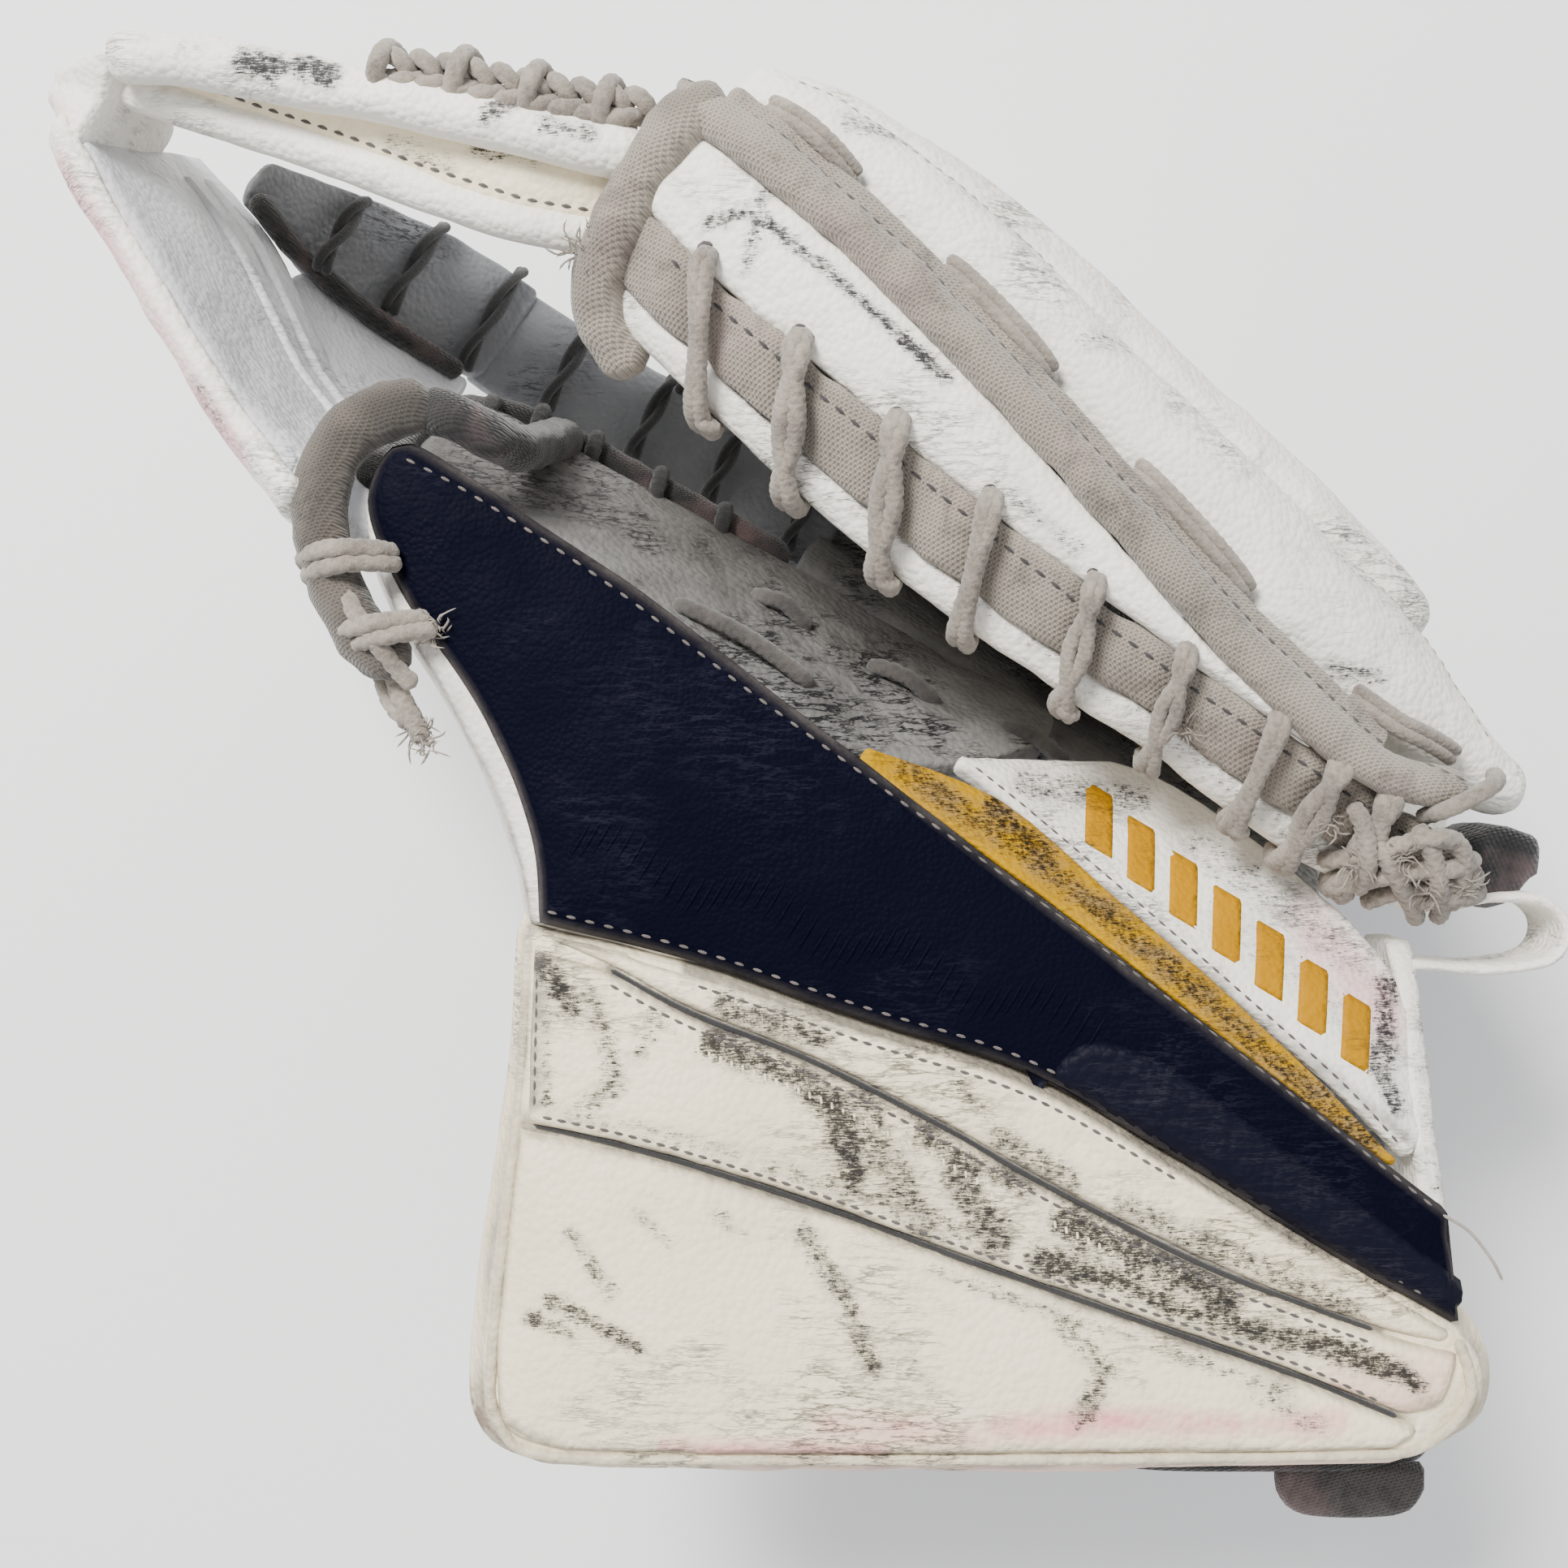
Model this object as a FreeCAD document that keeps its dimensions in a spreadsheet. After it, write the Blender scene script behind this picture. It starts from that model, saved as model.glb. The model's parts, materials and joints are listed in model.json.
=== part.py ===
"""Ice hockey goalie catching glove, lying on the back of its hand with the mouth up.

The row's axes: +Z up, +Y from the wrist opening towards the fingertips, +X towards the heel.
The cuff and thumb board is drawn in the board frame, which is the row's frame moved by origin_x and
origin_y. What lies along the mouth is drawn in the mouth frame, with its origin at the heel on the
floor. Its stations are distances from the heel towards the pocket's far corner, and a section's
corners are (y, z), with y from the thumb side to the finger side and z the height.
"""
import FreeCAD, Part
import Sketcher
import math
import os

V = FreeCAD.Vector
doc = FreeCAD.newDocument("goalie_catching_glove")
dims = doc.addObject("Spreadsheet::Sheet", "dims")

# Driving dimensions, in millimetres and degrees.
SIZES = {
    "origin_x": -85.0,
    "origin_y": 55.0,
    "heel_x": 130.5,  # where the two lips of the mouth meet, in the board frame
    "heel_y": -27.3,
    "mouth_turn": -31.0,  # from the cuff's lower edge to the mouth
    "lining_z": 119.5,
    "lining_thick": 2.0,
    "plate_thick": 2.5,
    "cuff_foam": 21.0,
    "thumb_foam": 19.5,
    "skin": 3.0,
    "thick_skin": 4.5,
    "hinge_y": 30.0,  # the fold between the palm and the finger side, in the mouth frame
    "hinge_z": 25.0,
    "welt_radius": 11.0,
    "welt_length": 145.0,
    "lace_radius": 2.6,
    "thin_lace_radius": 1.8,
    "binding_radius": 6.5,
    "piping_radius": 2.2,
    "roll_radius": 6.5,
    "rest_pad_thick": 20.0,
    "rest_pad_size": 100.0,
    "sleeve_wall": 4.0,
    "stall_wall": 3.0,
    "strap_thick": 3.0,
    "strap_width": 38.0,
    "patch_thick": 1.6,
}
for row, (alias, value) in enumerate(SIZES.items(), start=1):
    dims.set(f"A{row}", alias)
    dims.set(f"B{row}", str(value))
    dims.setAlias(f"B{row}", alias)
doc.recompute()

NODES = []


def size(alias):
    """The value of a cell of the sheet."""
    return float(dims.get(alias))


def keep(node, label):
    """Names an object as one of the glove's pieces."""
    node.Label = label
    NODES.append(node)
    return node


def in_board_frame(thing, height=None):
    """Puts a piece in the board frame. height is the expression for its lowest face."""
    thing.setExpression("Placement.Base.x", "dims.origin_x")
    thing.setExpression("Placement.Base.y", "dims.origin_y")
    if height:
        thing.setExpression("Placement.Base.z", height)


def in_mouth_frame(thing):
    """Puts a piece in the mouth frame."""
    thing.Placement = FreeCAD.Placement(V(0, 0, 0), FreeCAD.Rotation(V(0, 0, 1), 1.0))
    thing.setExpression("Placement.Base.x", "dims.heel_x + dims.origin_x")
    thing.setExpression("Placement.Base.y", "dims.heel_y + dims.origin_y")
    thing.setExpression("Placement.Rotation.Angle", "dims.mouth_turn")


# ---------------------------------------------------------------- ways of making a piece


def outline(*runs):
    """A closed outline. Each run goes on from the one before: a single point is a straight line to
    it, and several are a smooth curve. The last run's last point is where the outline starts."""
    whole = []
    last = runs[-1][-1]
    for run in runs:
        whole.append([last] + list(run))
        last = run[-1]
    return whole


def sketch_on(body, role, name, runs, offset=0.0):
    """A sketch of lines and smooth curves on an origin plane of the body, moved along its normal."""
    sketch = body.newObject("Sketcher::SketchObject", name)
    origin_plane = next(f for f in body.Origin.OriginFeatures if f.Role == role)
    sketch.AttachmentSupport = (origin_plane, [""])
    sketch.MapMode = "FlatFace"
    sketch.AttachmentOffset = FreeCAD.Placement(V(0, 0, offset), FreeCAD.Rotation())
    for run in runs:
        points = [V(x, y, 0) for x, y in run]
        if len(points) == 2:
            sketch.addGeometry(Part.LineSegment(points[0], points[1]))
        else:
            curve = Part.BSplineCurve()
            curve.interpolate(points)
            sketch.addGeometry(curve)
    return sketch


def panel(label, runs, height, thick, rounded=0.0):
    """A flat piece of the board: its outline raised by a cell of the sheet, its upper edge rounded."""
    body = doc.addObject("PartDesign::Body", label)
    profile = sketch_on(body, "XY_Plane", label + "_outline", runs)
    pad = body.newObject("PartDesign::Pad", label + "_pad")
    pad.Profile = profile
    pad.setExpression("Length", f"dims.{thick}")
    in_board_frame(body, height)
    if rounded:
        doc.recompute()
        top = pad.Shape.BoundBox.ZMax - 0.01
        edges = enumerate(pad.Shape.Edges, start=1)
        upper = [f"Edge{i}" for i, edge in edges if edge.BoundBox.ZMin > top]
        fillet = body.newObject("PartDesign::Fillet", label + "_round")
        fillet.Base = (pad, upper)
        fillet.Radius = rounded
    return keep(body, label)


def lofted(label, sections, hollow=()):
    """A piece along the mouth. A section is its station and its corners. hollow is the sections of
    a space taken out of it."""
    body = doc.addObject("PartDesign::Body", label)
    for kind, stations in (("AdditiveLoft", sections), ("SubtractiveLoft", hollow)):
        sketches = []
        for number, (along, corners) in enumerate(stations):
            runs = outline(*[[corner] for corner in corners])
            name = f"{label}_{kind}_{number}"
            sketches.append(sketch_on(body, "YZ_Plane", name, runs, -along))
        if sketches:
            loft = body.newObject("PartDesign::" + kind, label + "_" + kind)
            loft.Profile = sketches[0]
            loft.Sections = sketches[1:]
            loft.Ruled = len(sketches) < 3
    in_mouth_frame(body)
    return keep(body, label)


def slab(along, face, shift):
    """A section that is a bent slab: the corners of its face, and the same ones shifted."""
    dy, dz = shift
    return along, list(face) + [(y + dy, z + dz) for y, z in reversed(face)]


def route_wire(points):
    """Straight runs joined by tangent arcs as large as the runs allow. A point in line has no arc."""
    edges = []
    last = points[0]
    for before, here, after in zip(points, points[1:], points[2:]):
        way_in = here - before
        way_out = after - here
        cut = 0.45 * min(way_in.Length, way_out.Length)
        start = here - V(way_in).normalize() * cut
        end = here + V(way_out).normalize() * cut
        half_turn = way_in.getAngle(way_out) / 2
        if half_turn < 0.002:
            continue
        radius = cut / math.tan(half_turn)
        inwards = (V(way_out).normalize() - V(way_in).normalize()).normalize()
        centre = here + inwards * (radius / math.cos(half_turn))
        edges.append(Part.LineSegment(last, start).toShape())
        edges.append(Part.Arc(start, centre - inwards * radius, end).toShape())
        last = end
    edges.append(Part.LineSegment(last, points[-1]).toShape())
    return Part.Wire(edges)


def swept(points, section_at):
    """A section carried along a route. section_at gives it from the first point and direction."""
    wire = route_wire([V(*point) for point in points])
    first = wire.Edges[0]
    section = section_at(V(*points[0]), first.tangentAt(first.FirstParameter))
    return wire.makePipeShell([section], True, True)


def routed(label, routes, section_at, frame):
    """A node of one or more pieces that follow routes, in the board frame or the mouth frame."""
    node = doc.addObject("Part::Feature", label)
    solids = [swept(route, section_at) for route in routes]
    node.Shape = solids[0] if len(solids) == 1 else Part.makeCompound(solids)
    frame(node)
    return keep(node, label)


def round_section(alias):
    """The section of a round tube whose radius is a cell of the sheet."""
    return lambda start, way: Part.Wire([Part.makeCircle(size(alias), start, way)])


def board_tubes(label, routes, radius):
    """Tubes in the board frame."""
    return routed(label, routes, round_section(radius), in_board_frame)


def mouth_tubes(label, routes, radius):
    """Tubes in the mouth frame, whose routes are (station, y, z)."""
    turned = [[(-along, y, z) for along, y, z in route] for route in routes]
    return routed(label, turned, round_section(radius), in_mouth_frame)


def strap_section(thick, wide):
    """The section of a flat strap that stands on its edge."""

    def section(start, way):
        across = way.cross(V(0, 0, 1)) * (thick / 2)
        rise = V(0, 0, wide / 2)
        corners = [start + across + rise, start - across + rise]
        corners += [start - across - rise, start + across - rise]
        return Part.makePolygon(corners + corners[:1])

    return section


def block(label, low, high, sides=None):
    """A box between two corners in the board frame. sides gives the cells that size it."""
    box = doc.addObject("Part::Box", label)
    sides = sides or {}
    for side, place, start, end in zip(("Length", "Width", "Height"), "xyz", low, high):
        setattr(box, side, end - start)
        if side in sides:
            box.setExpression(side, f"dims.{sides[side]}")
        origin = f"dims.origin_{place} + " if place in "xy" else ""
        box.setExpression(f"Placement.Base.{place}", f"{origin}{start}")
    return keep(box, label)


def sleeve(label, low, high, wall, open_axis, frame, closed_end=0.0):
    """A box-shaped sleeve whose wall is a cell of the sheet, open along one axis. closed_end is how
    much of its far end stays closed."""
    outside = doc.addObject("Part::Box", label + "_outside")
    inside = doc.addObject("Part::Box", label + "_inside")
    outside.Placement.Base = V(*low)
    past = 10.0
    for side, place, start, end in zip(("Length", "Width", "Height"), "xyz", low, high):
        setattr(outside, side, end - start)
        if place == open_axis:
            setattr(inside, side, end - start + past)
            first = start + closed_end if closed_end else start - past / 2
            inside.setExpression(f"Placement.Base.{place}", str(first))
        else:
            inside.setExpression(side, f"{end - start} - 2 * dims.{wall}")
            inside.setExpression(f"Placement.Base.{place}", f"{start} + dims.{wall}")
    cut = doc.addObject("Part::Cut", label)
    cut.Base = outside
    cut.Tool = inside
    frame(cut)
    return keep(cut, label)


# ---------------------------------------------------------------- cuff and thumb board

PLATE_Z = "dims.lining_z + dims.lining_thick"
PAD_Z = PLATE_Z + " + dims.plate_thick"
FACE_Z = PAD_Z + " + dims.cuff_foam"

MOUTH_CORNER = (137.0, -89.0)  # right end of the thumb's edge along the mouth
WAIST = (-53.0, -29.3)  # left end of the line between thumb and cuff
THUMB_LINE = [(-18, -37.5), (16, -49), (50, -60), (81, -77.5), (112, -96.5)]
UPPER_SEAM = [(-36, -38.5), (-19, -47.5), (6, -57.5), (32, -70.5), (56, -84), (89, -100.5)]
LOWER_SEAM = [(-27.5, -76.5), (6, -87), (39, -99), (72, -110.5), (106, -122.5)]


def moved(points, up):
    """The same points, moved across a seam."""
    return [(x, y + up) for x, y in points]


def thumb_board():
    """The thumb's leather panel, its foam pad, the plastic plate inside and the trim on its edge."""
    rim = outline(
        [(-56, -14), (-62, 2), (-71, 19), (-80, 34), (-86, 48), (-87.5, 60), (-84, 69)],
        [(-78, 71), (-64, 62.5)],
        [(-36, 43.5), (0, 16.5)],
        [MOUTH_CORNER],
        [(141.0, -112.5)],
        THUMB_LINE[::-1] + [WAIST],
    )
    inset = outline(
        [(-53, -8), (-64, 14), (-77, 42)],
        [(-76, 60), (-66, 56)],
        [(-36, 37)],
        [(122, -84)],
        [(122, -97), (80, -72), (50, -54), (16, -43), (-48, -27)],
    )
    panel("thumb_plate", inset, PLATE_Z, "plate_thick")
    panel("thumb_pad", rim, PAD_Z, "thumb_foam")
    panel("thumb_panel", rim, PAD_Z + " + dims.thumb_foam", "thick_skin", rounded=1.5)
    edge = [(-78.5, 22), (-72.5, 10), (-66, -2), (-61, -15), (-57.8, -29)]
    board_tubes("thumb_edge_piping", [[(x, y, 139.5) for x, y in edge]], "piping_radius")
    tip = [(-94, 50), (-95.5, 63), (-88, 76), (-77, 80), (-65, 76), (-59, 71)]
    board_tubes("thumb_tip_binding", [[(x, y, 140.5) for x, y in tip]], "binding_radius")
    ties = [
        [(-104, 43, 141), (-99, 42.5, 148), (-91, 42, 151.5), (-81, 43, 151.5)],
        [(-93, 29, 143), (-88, 29, 149.5), (-80, 30, 151.5), (-73, 31, 151)],
        [(-90, 34, 143), (-85.5, 25, 142), (-81, 19, 141.5), (-77.5, 11, 143)],
    ]
    board_tubes("thumb_tip_lace", ties, "thin_lace_radius")


def cuff_board():
    """The cuff's three leather panels, its foam pad, its plate and its lining."""
    rim = outline(
        moved(THUMB_LINE, -0.4) + [(140.5, -113)],
        [(146, -122), (143.5, -133), (128, -140.5)],
        [(60, -142.5), (0, -142.5), (-50, -141)],
        [(-61, -135.5), (-63, -122), (-59.5, -90), (-54.8, -60), (-53, -30)],
    )
    inset = outline(
        [(12, -56)],
        [(46, -67)],
        [(130, -117)],
        [(128, -130)],
        [(-52, -132)],
        [(-46, -38)],
    )
    panel("cuff_lining", inset, "dims.lining_z", "lining_thick")
    panel("cuff_plate", inset, PLATE_Z, "plate_thick")
    panel("cuff_pad", rim, PAD_Z, "cuff_foam")
    upper = outline(
        moved(THUMB_LINE, -1.0) + [(138, -113)],
        [(138, -116)],
        [(122, -112.2)] + moved(UPPER_SEAM[::-1], 0.3) + [(-51.5, -31)],
    )
    middle = outline(
        moved(UPPER_SEAM, -0.3) + [(122, -112.8), (139, -117.5)],
        [(134, -128.5), (128, -130.5)],
        moved(LOWER_SEAM[::-1], 0.3) + [(-54, -70.3)],
        [(-52.5, -34)],
    )
    lower = outline(
        moved(LOWER_SEAM, -0.3) + [(127, -131.5)],
        [(100, -135.5), (60, -136), (0, -136), (-48, -134.5)],
        [(-57, -127), (-57.5, -100), (-54.5, -71)],
    )
    panel("cuff_upper_panel", upper, FACE_Z, "skin")
    panel("cuff_middle_panel", middle, FACE_Z, "skin")
    panel("cuff_lower_panel", lower, FACE_Z, "skin", rounded=1.0)


# ---------------------------------------------------------------- heel, pocket and palm


def heel():
    """The panels that slope from the thumb board down to the mouth, the foam under them, the strap
    loop at the heel and the gusset behind it."""
    lofted(
        "gold_panel",
        [
            (-24, [(-47, 139), (-45, 138), (-45.5, 135.5), (-47.5, 136.5)]),
            (6, [(-43, 141.5), (-37, 136), (-38.5, 133.5), (-44, 139)]),
            (56, [(-37, 142), (-27.5, 132.5), (-29, 130), (-38, 139.5)]),
            (85, [(-34, 142), (-22, 128), (-23.5, 125.5), (-35, 139.5)]),
            (112, [(-31.5, 142), (-29, 140), (-30, 137.5), (-32.5, 139.5)]),
        ],
    )
    lofted(
        "heel_panel",
        [
            (-26, [(-43.5, 136.5), (-35, 131.5), (-36, 128.5), (-44.5, 133.5)]),
            (-11, [(-39, 136), (-11.5, 122.5), (-13, 119.5), (-40, 133)]),
            (20, [(-33, 132.5), (-2, 114.5), (-3.5, 111.5), (-34.5, 129.5)]),
            (55, [(-26.5, 129.5), (1.5, 101), (-0.5, 98.5), (-28.5, 127)]),
            (78, [(-22.5, 126), (-9, 109.5), (-11.5, 107.5), (-24.5, 123.5)]),
            (93, [(-21, 124), (-18, 120.5), (-20, 118.5), (-23, 122)]),
        ],
    )
    lofted(
        "heel_foam",
        [
            (-10, [(-41, 131.5), (-14.5, 118.5), (-15.5, 113), (-40, 119)]),
            (20, [(-36, 128), (-5.5, 110.5), (-7.5, 105), (-36, 119)]),
            (55, [(-31, 124.5), (-3, 96.5), (-6, 91), (-31, 118)]),
            (76, [(-28, 121.5), (-13, 103.5), (-14, 99), (-29, 116)]),
        ],
    )
    loop = [(139, -40), (157, -41), (170, -38.5), (173, -31.5), (168, -26), (158, -25), (149.5, -26.5)]
    route = [(x, y, 111) for x, y in loop]
    routed("heel_strap_loop", [route], strap_section(2.4, 22), in_board_frame)
    block("heel_gusset", (153.5, -22, 97), (166, -14, 116))


def pocket():
    """The palm on the thumb side, the bottom of the pocket, and the roll at its fold."""
    skin = (-5, -3.5)
    lofted(
        "palm_thumb_wall",
        [
            slab(80, [(-6, 99), (4, 85)], skin),
            slab(95, [(-20, 113), (4.5, 78)], skin),
            slab(120, [(-28.5, 121), (4.5, 72.5)], skin),
            slab(180, [(-26, 121), (3, 74)], skin),
            slab(232, [(-23, 121), (-2, 84)], skin),
        ],
    )
    lofted(
        "palm_floor",
        [
            slab(5, [(-4, 99), (20, 40)], (-6, -2)),
            slab(60, [(0, 85), (20, 37)], (-6, -2)),
            slab(94, [(4, 74), (20, 36)], (-6, -2)),
            slab(120, [(5.5, 67), (20, 36)], (-6, -2)),
            slab(150, [(6, 64), (20, 36)], (-6, -2)),
        ],
    )
    lofted(
        "pocket_spine",
        [
            slab(152.5, [(4, 46), (31, 39)], (-1.2, -4.8)),
            slab(200, [(4, 41), (34, 31)], (-1.5, -4.7)),
            slab(243, [(5, 44), (34, 34)], (-1.5, -4.7)),
        ],
    )
    edge = [(153, 3.8, 67.6), (196, 2.2, 69), (226, -0.5, 73.5)]
    edge += [(238, -7.5, 88), (238, -17, 105), (237.5, -23, 117)]
    mouth_tubes("palm_edge_binding", [edge], "lace_radius")
    stitches = [
        [(start, -6.4, 94.8), ((start + end) / 2, -5, 95.8), (end, -6.4, 95.2)]
        for start, end in ((155, 140), (124, 111))
    ]
    stitches.append([(167, -19.3, 113.8), (150, -18, 115), (133, -19.3, 113.8)])
    mouth_tubes("palm_lace", stitches, "thin_lace_radius")
    welt = doc.addObject("PartDesign::Body", "break_welt")
    ring = sketch_on(welt, "YZ_Plane", "break_welt_ring", [], -150)
    ring.addGeometry(Part.Circle(V(size("hinge_y"), size("hinge_z"), 0), V(0, 0, 1), 1.0))
    ring.addConstraint(Sketcher.Constraint("Radius", 0, size("welt_radius")))
    ring.setExpression("Constraints[0]", "dims.welt_radius")
    pad = welt.newObject("PartDesign::Pad", "break_welt_pad")
    pad.Profile = ring
    pad.setExpression("Length", "dims.welt_length")
    in_mouth_frame(welt)
    keep(welt, "break_welt")


def hand_side():
    """What holds the hand: the pads it lies on, the wrist sleeve, the thumb stall and the straps."""
    lofted(
        "palm_back_pad",
        [
            (66, [(-12, 0), (16, 0), (16, 26), (-12, 26)]),
            (150, [(-12, 0), (16, 0), (16, 26), (-12, 26)]),
        ],
    )
    block(
        "back_of_hand_pad",
        (35, -105, 0),
        (135, -5, 20),
        {"Length": "rest_pad_size", "Width": "rest_pad_size", "Height": "rest_pad_thick"},
    )
    sleeve("wrist_sleeve", (62, -154, 24), (153, -78, 112), "sleeve_wall", "y", in_board_frame)
    sleeve("thumb_stall", (-185, -64, 91), (-100, -40, 118), "stall_wall", "x", in_mouth_frame, 3)
    end = [(112, -160), (118, -165.5), (139, -165.5), (145, -160)]
    panel("wrist_tab", outline(end, [(145, -154.3)], [(112, -154.3)]), "108.2", "skin")
    band_sizes = {"Width": "strap_width", "Height": "strap_thick"}
    block("strap_band", (62, -150, 20.5), (153, -112, 23.5), band_sizes)
    block("loop_patch", (59.8, -148, 40), (61.4, -114, 84), {"Length": "patch_thick"})
    block("strap_flap", (54.5, -150, 30), (57.5, -112, 92), {"Length": "strap_thick"})
    block("hook_patch", (57.8, -148, 50), (59.4, -114, 90), {"Length": "patch_thick"})


# ---------------------------------------------------------------- finger side

# Station: lip, upper edge of the strip, middle of the roll, outer side, height of the lip.
FINGER = {
    -12: (4, 18, 29, 45, 118),
    25: (0, 18.5, 24, 64, 130),
    60: (2, 19, 29.5, 71.5, 138),
    90: (3, 21, 37.5, 77, 142),
    125: (5.5, 25, 47.5, 84, 145),
    160: (11, 30, 56.5, 88.5, 147),
    190: (17, 35, 62, 90, 148),
    204: (20.5, 39, 63.7, 87, 147),
}


def along_fingers(section, first=-12):
    """The sections of a finger-side piece. section makes the corners from a station's sizes."""
    return [(along, section(*sizes)) for along, sizes in FINGER.items() if along >= first]


def at_station(along):
    """The finger side's sizes between two stations."""
    known = sorted(FINGER)
    after = next(a for a in known if a >= along)
    before = known[max(known.index(after) - 1, 0)]
    share = (along - before) / (after - before) if after > before else 0.0
    return [a + (b - a) * share for a, b in zip(FINGER[before], FINGER[after])]


def finger_side():
    """The hinged half of the glove: palm wall, padded back, stalls, plate, edge strip and laces."""

    def wall(lip, strip, roll, out, lip_z):
        face = [(lip + 3, lip_z - 6), (lip + 19, 88), (40, 43)]
        return face + [(48, 45), (lip + 27, 90), (lip + 11, lip_z - 4)]

    def edge_strip(lip, strip, roll, out, lip_z):
        return [(lip, lip_z), (strip, lip_z + 12), (strip + 1.5, lip_z + 8.3), (lip + 1.5, lip_z - 3.7)]

    def rim(lip, strip, roll, out, lip_z):
        inner, outer = strip + 2.2, roll - 6.8
        return [(inner, lip_z + 12), (outer, lip_z + 13), (outer, lip_z + 9), (inner, lip_z + 8)]

    def upper_ridge(lip, strip, roll, out, lip_z):
        return [(roll + 4, lip_z + 6.5), (out - 3, lip_z - 8), (out - 17, lip_z - 14), (roll - 2, lip_z - 6)]

    def middle_ridge(lip, strip, roll, out, lip_z):
        return [(out - 3, lip_z - 9.5), (out + 4, 84), (out - 11, 84), (out - 16, lip_z - 15.5)]

    def lower_ridge(lip, strip, roll, out, lip_z):
        foot = 0.45 * out + 30
        outer = [(out + 4, 82.5), (out + 2, 48), (foot, 22)]
        return outer + [(foot - 8, 33), (out - 12, 54), (out - 11, 82.5)]

    def plate(lip, strip, roll, out, lip_z):
        return [(out - 18, 118), (out - 13.5, 60), (out - 15.3, 60), (out - 19.8, 118)]

    lofted("finger_palm_wall", along_fingers(wall))
    lofted("finger_edge_strip", along_fingers(edge_strip))
    lofted("finger_rim_face", along_fingers(rim, 90))
    lofted("finger_upper_ridge", along_fingers(upper_ridge))
    lofted("finger_middle_ridge", along_fingers(middle_ridge, 25))
    lofted("finger_lower_ridge", along_fingers(lower_ridge, 25))
    lofted("finger_plate", along_fingers(plate, 60))
    roll = [(along, sizes[2], sizes[4] + 14) for along, sizes in FINGER.items() if along >= 0]
    mouth_tubes("finger_edge_roll", [[(1, 26.5, 136)] + roll], "roll_radius")
    tip = [(212.5, 20, 141), (216.5, 31, 152), (216, 48, 158), (212.5, 64, 158)]
    mouth_tubes("finger_tip_binding", [tip], "roll_radius")
    finger_liner()
    finger_laces()


def finger_liner():
    """The lining bag that the four fingers slide into, closed at its tip."""

    def liner(along, inset):
        lip, strip, roll, out, lip_z = at_station(along)
        top, bottom = 120 - inset, 68 + inset
        palm = [(lip + 18.8, top), (lip + 31.8, 88), (47, bottom)]
        back = [(out - 18.8, bottom), (out - 20, 88), (out - 22.5, top)]
        return [(y + inset, z) for y, z in palm] + [(y - inset, z) for y, z in back]

    wall = 2.2
    outer = [(along, liner(along, 0)) for along in (78, 100, 125, 160, 195)]
    inner = [(along, liner(along, wall)) for along in (77.5, 100, 125, 160, 192)]
    lofted("finger_liner", outer, inner)


def finger_laces():
    """Loops over the edge strip, long stitches along the roll, and the knots at the heel."""
    loops = []
    for along, lean in ((178, 13), (155, 12), (130, 12), (109, 10), (83, 9), (61, 8), (38, 7), (24, 5)):
        lip, _, _, _, lip_z = at_station(along)
        low = (along, lip - 4.5, lip_z - 5)
        over = (along + 0.25 * lean, lip - 3.5, lip_z + 2.5)
        middle = at_station(along + 0.7 * lean)
        upper = (along + 0.7 * lean, middle[1] - 5, middle[4] + 13.3)
        far = at_station(along + lean)
        back = 1.2 if along > 30 else 3.6
        loops.append([low, over, upper, (along + lean, far[1] - back, far[4] + 16.8)])
    mouth_tubes("edge_lace", loops, "lace_radius")
    stitches = []
    for start, end in ((196, 178), (150, 124), (96, 66), (30, 8)):
        points = []
        for along, lift in ((start, 0), ((start + end) / 2 + 2, 1.2), (end, 0)):
            _, _, roll, _, lip_z = at_station(along)
            points.append((along, roll + 8.6 + lift, lip_z + 14 + lift))
        stitches.append(points)
    mouth_tubes("roll_lace", stitches, "thin_lace_radius")


# ---------------------------------------------------------------- T at the pocket's far corner


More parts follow.
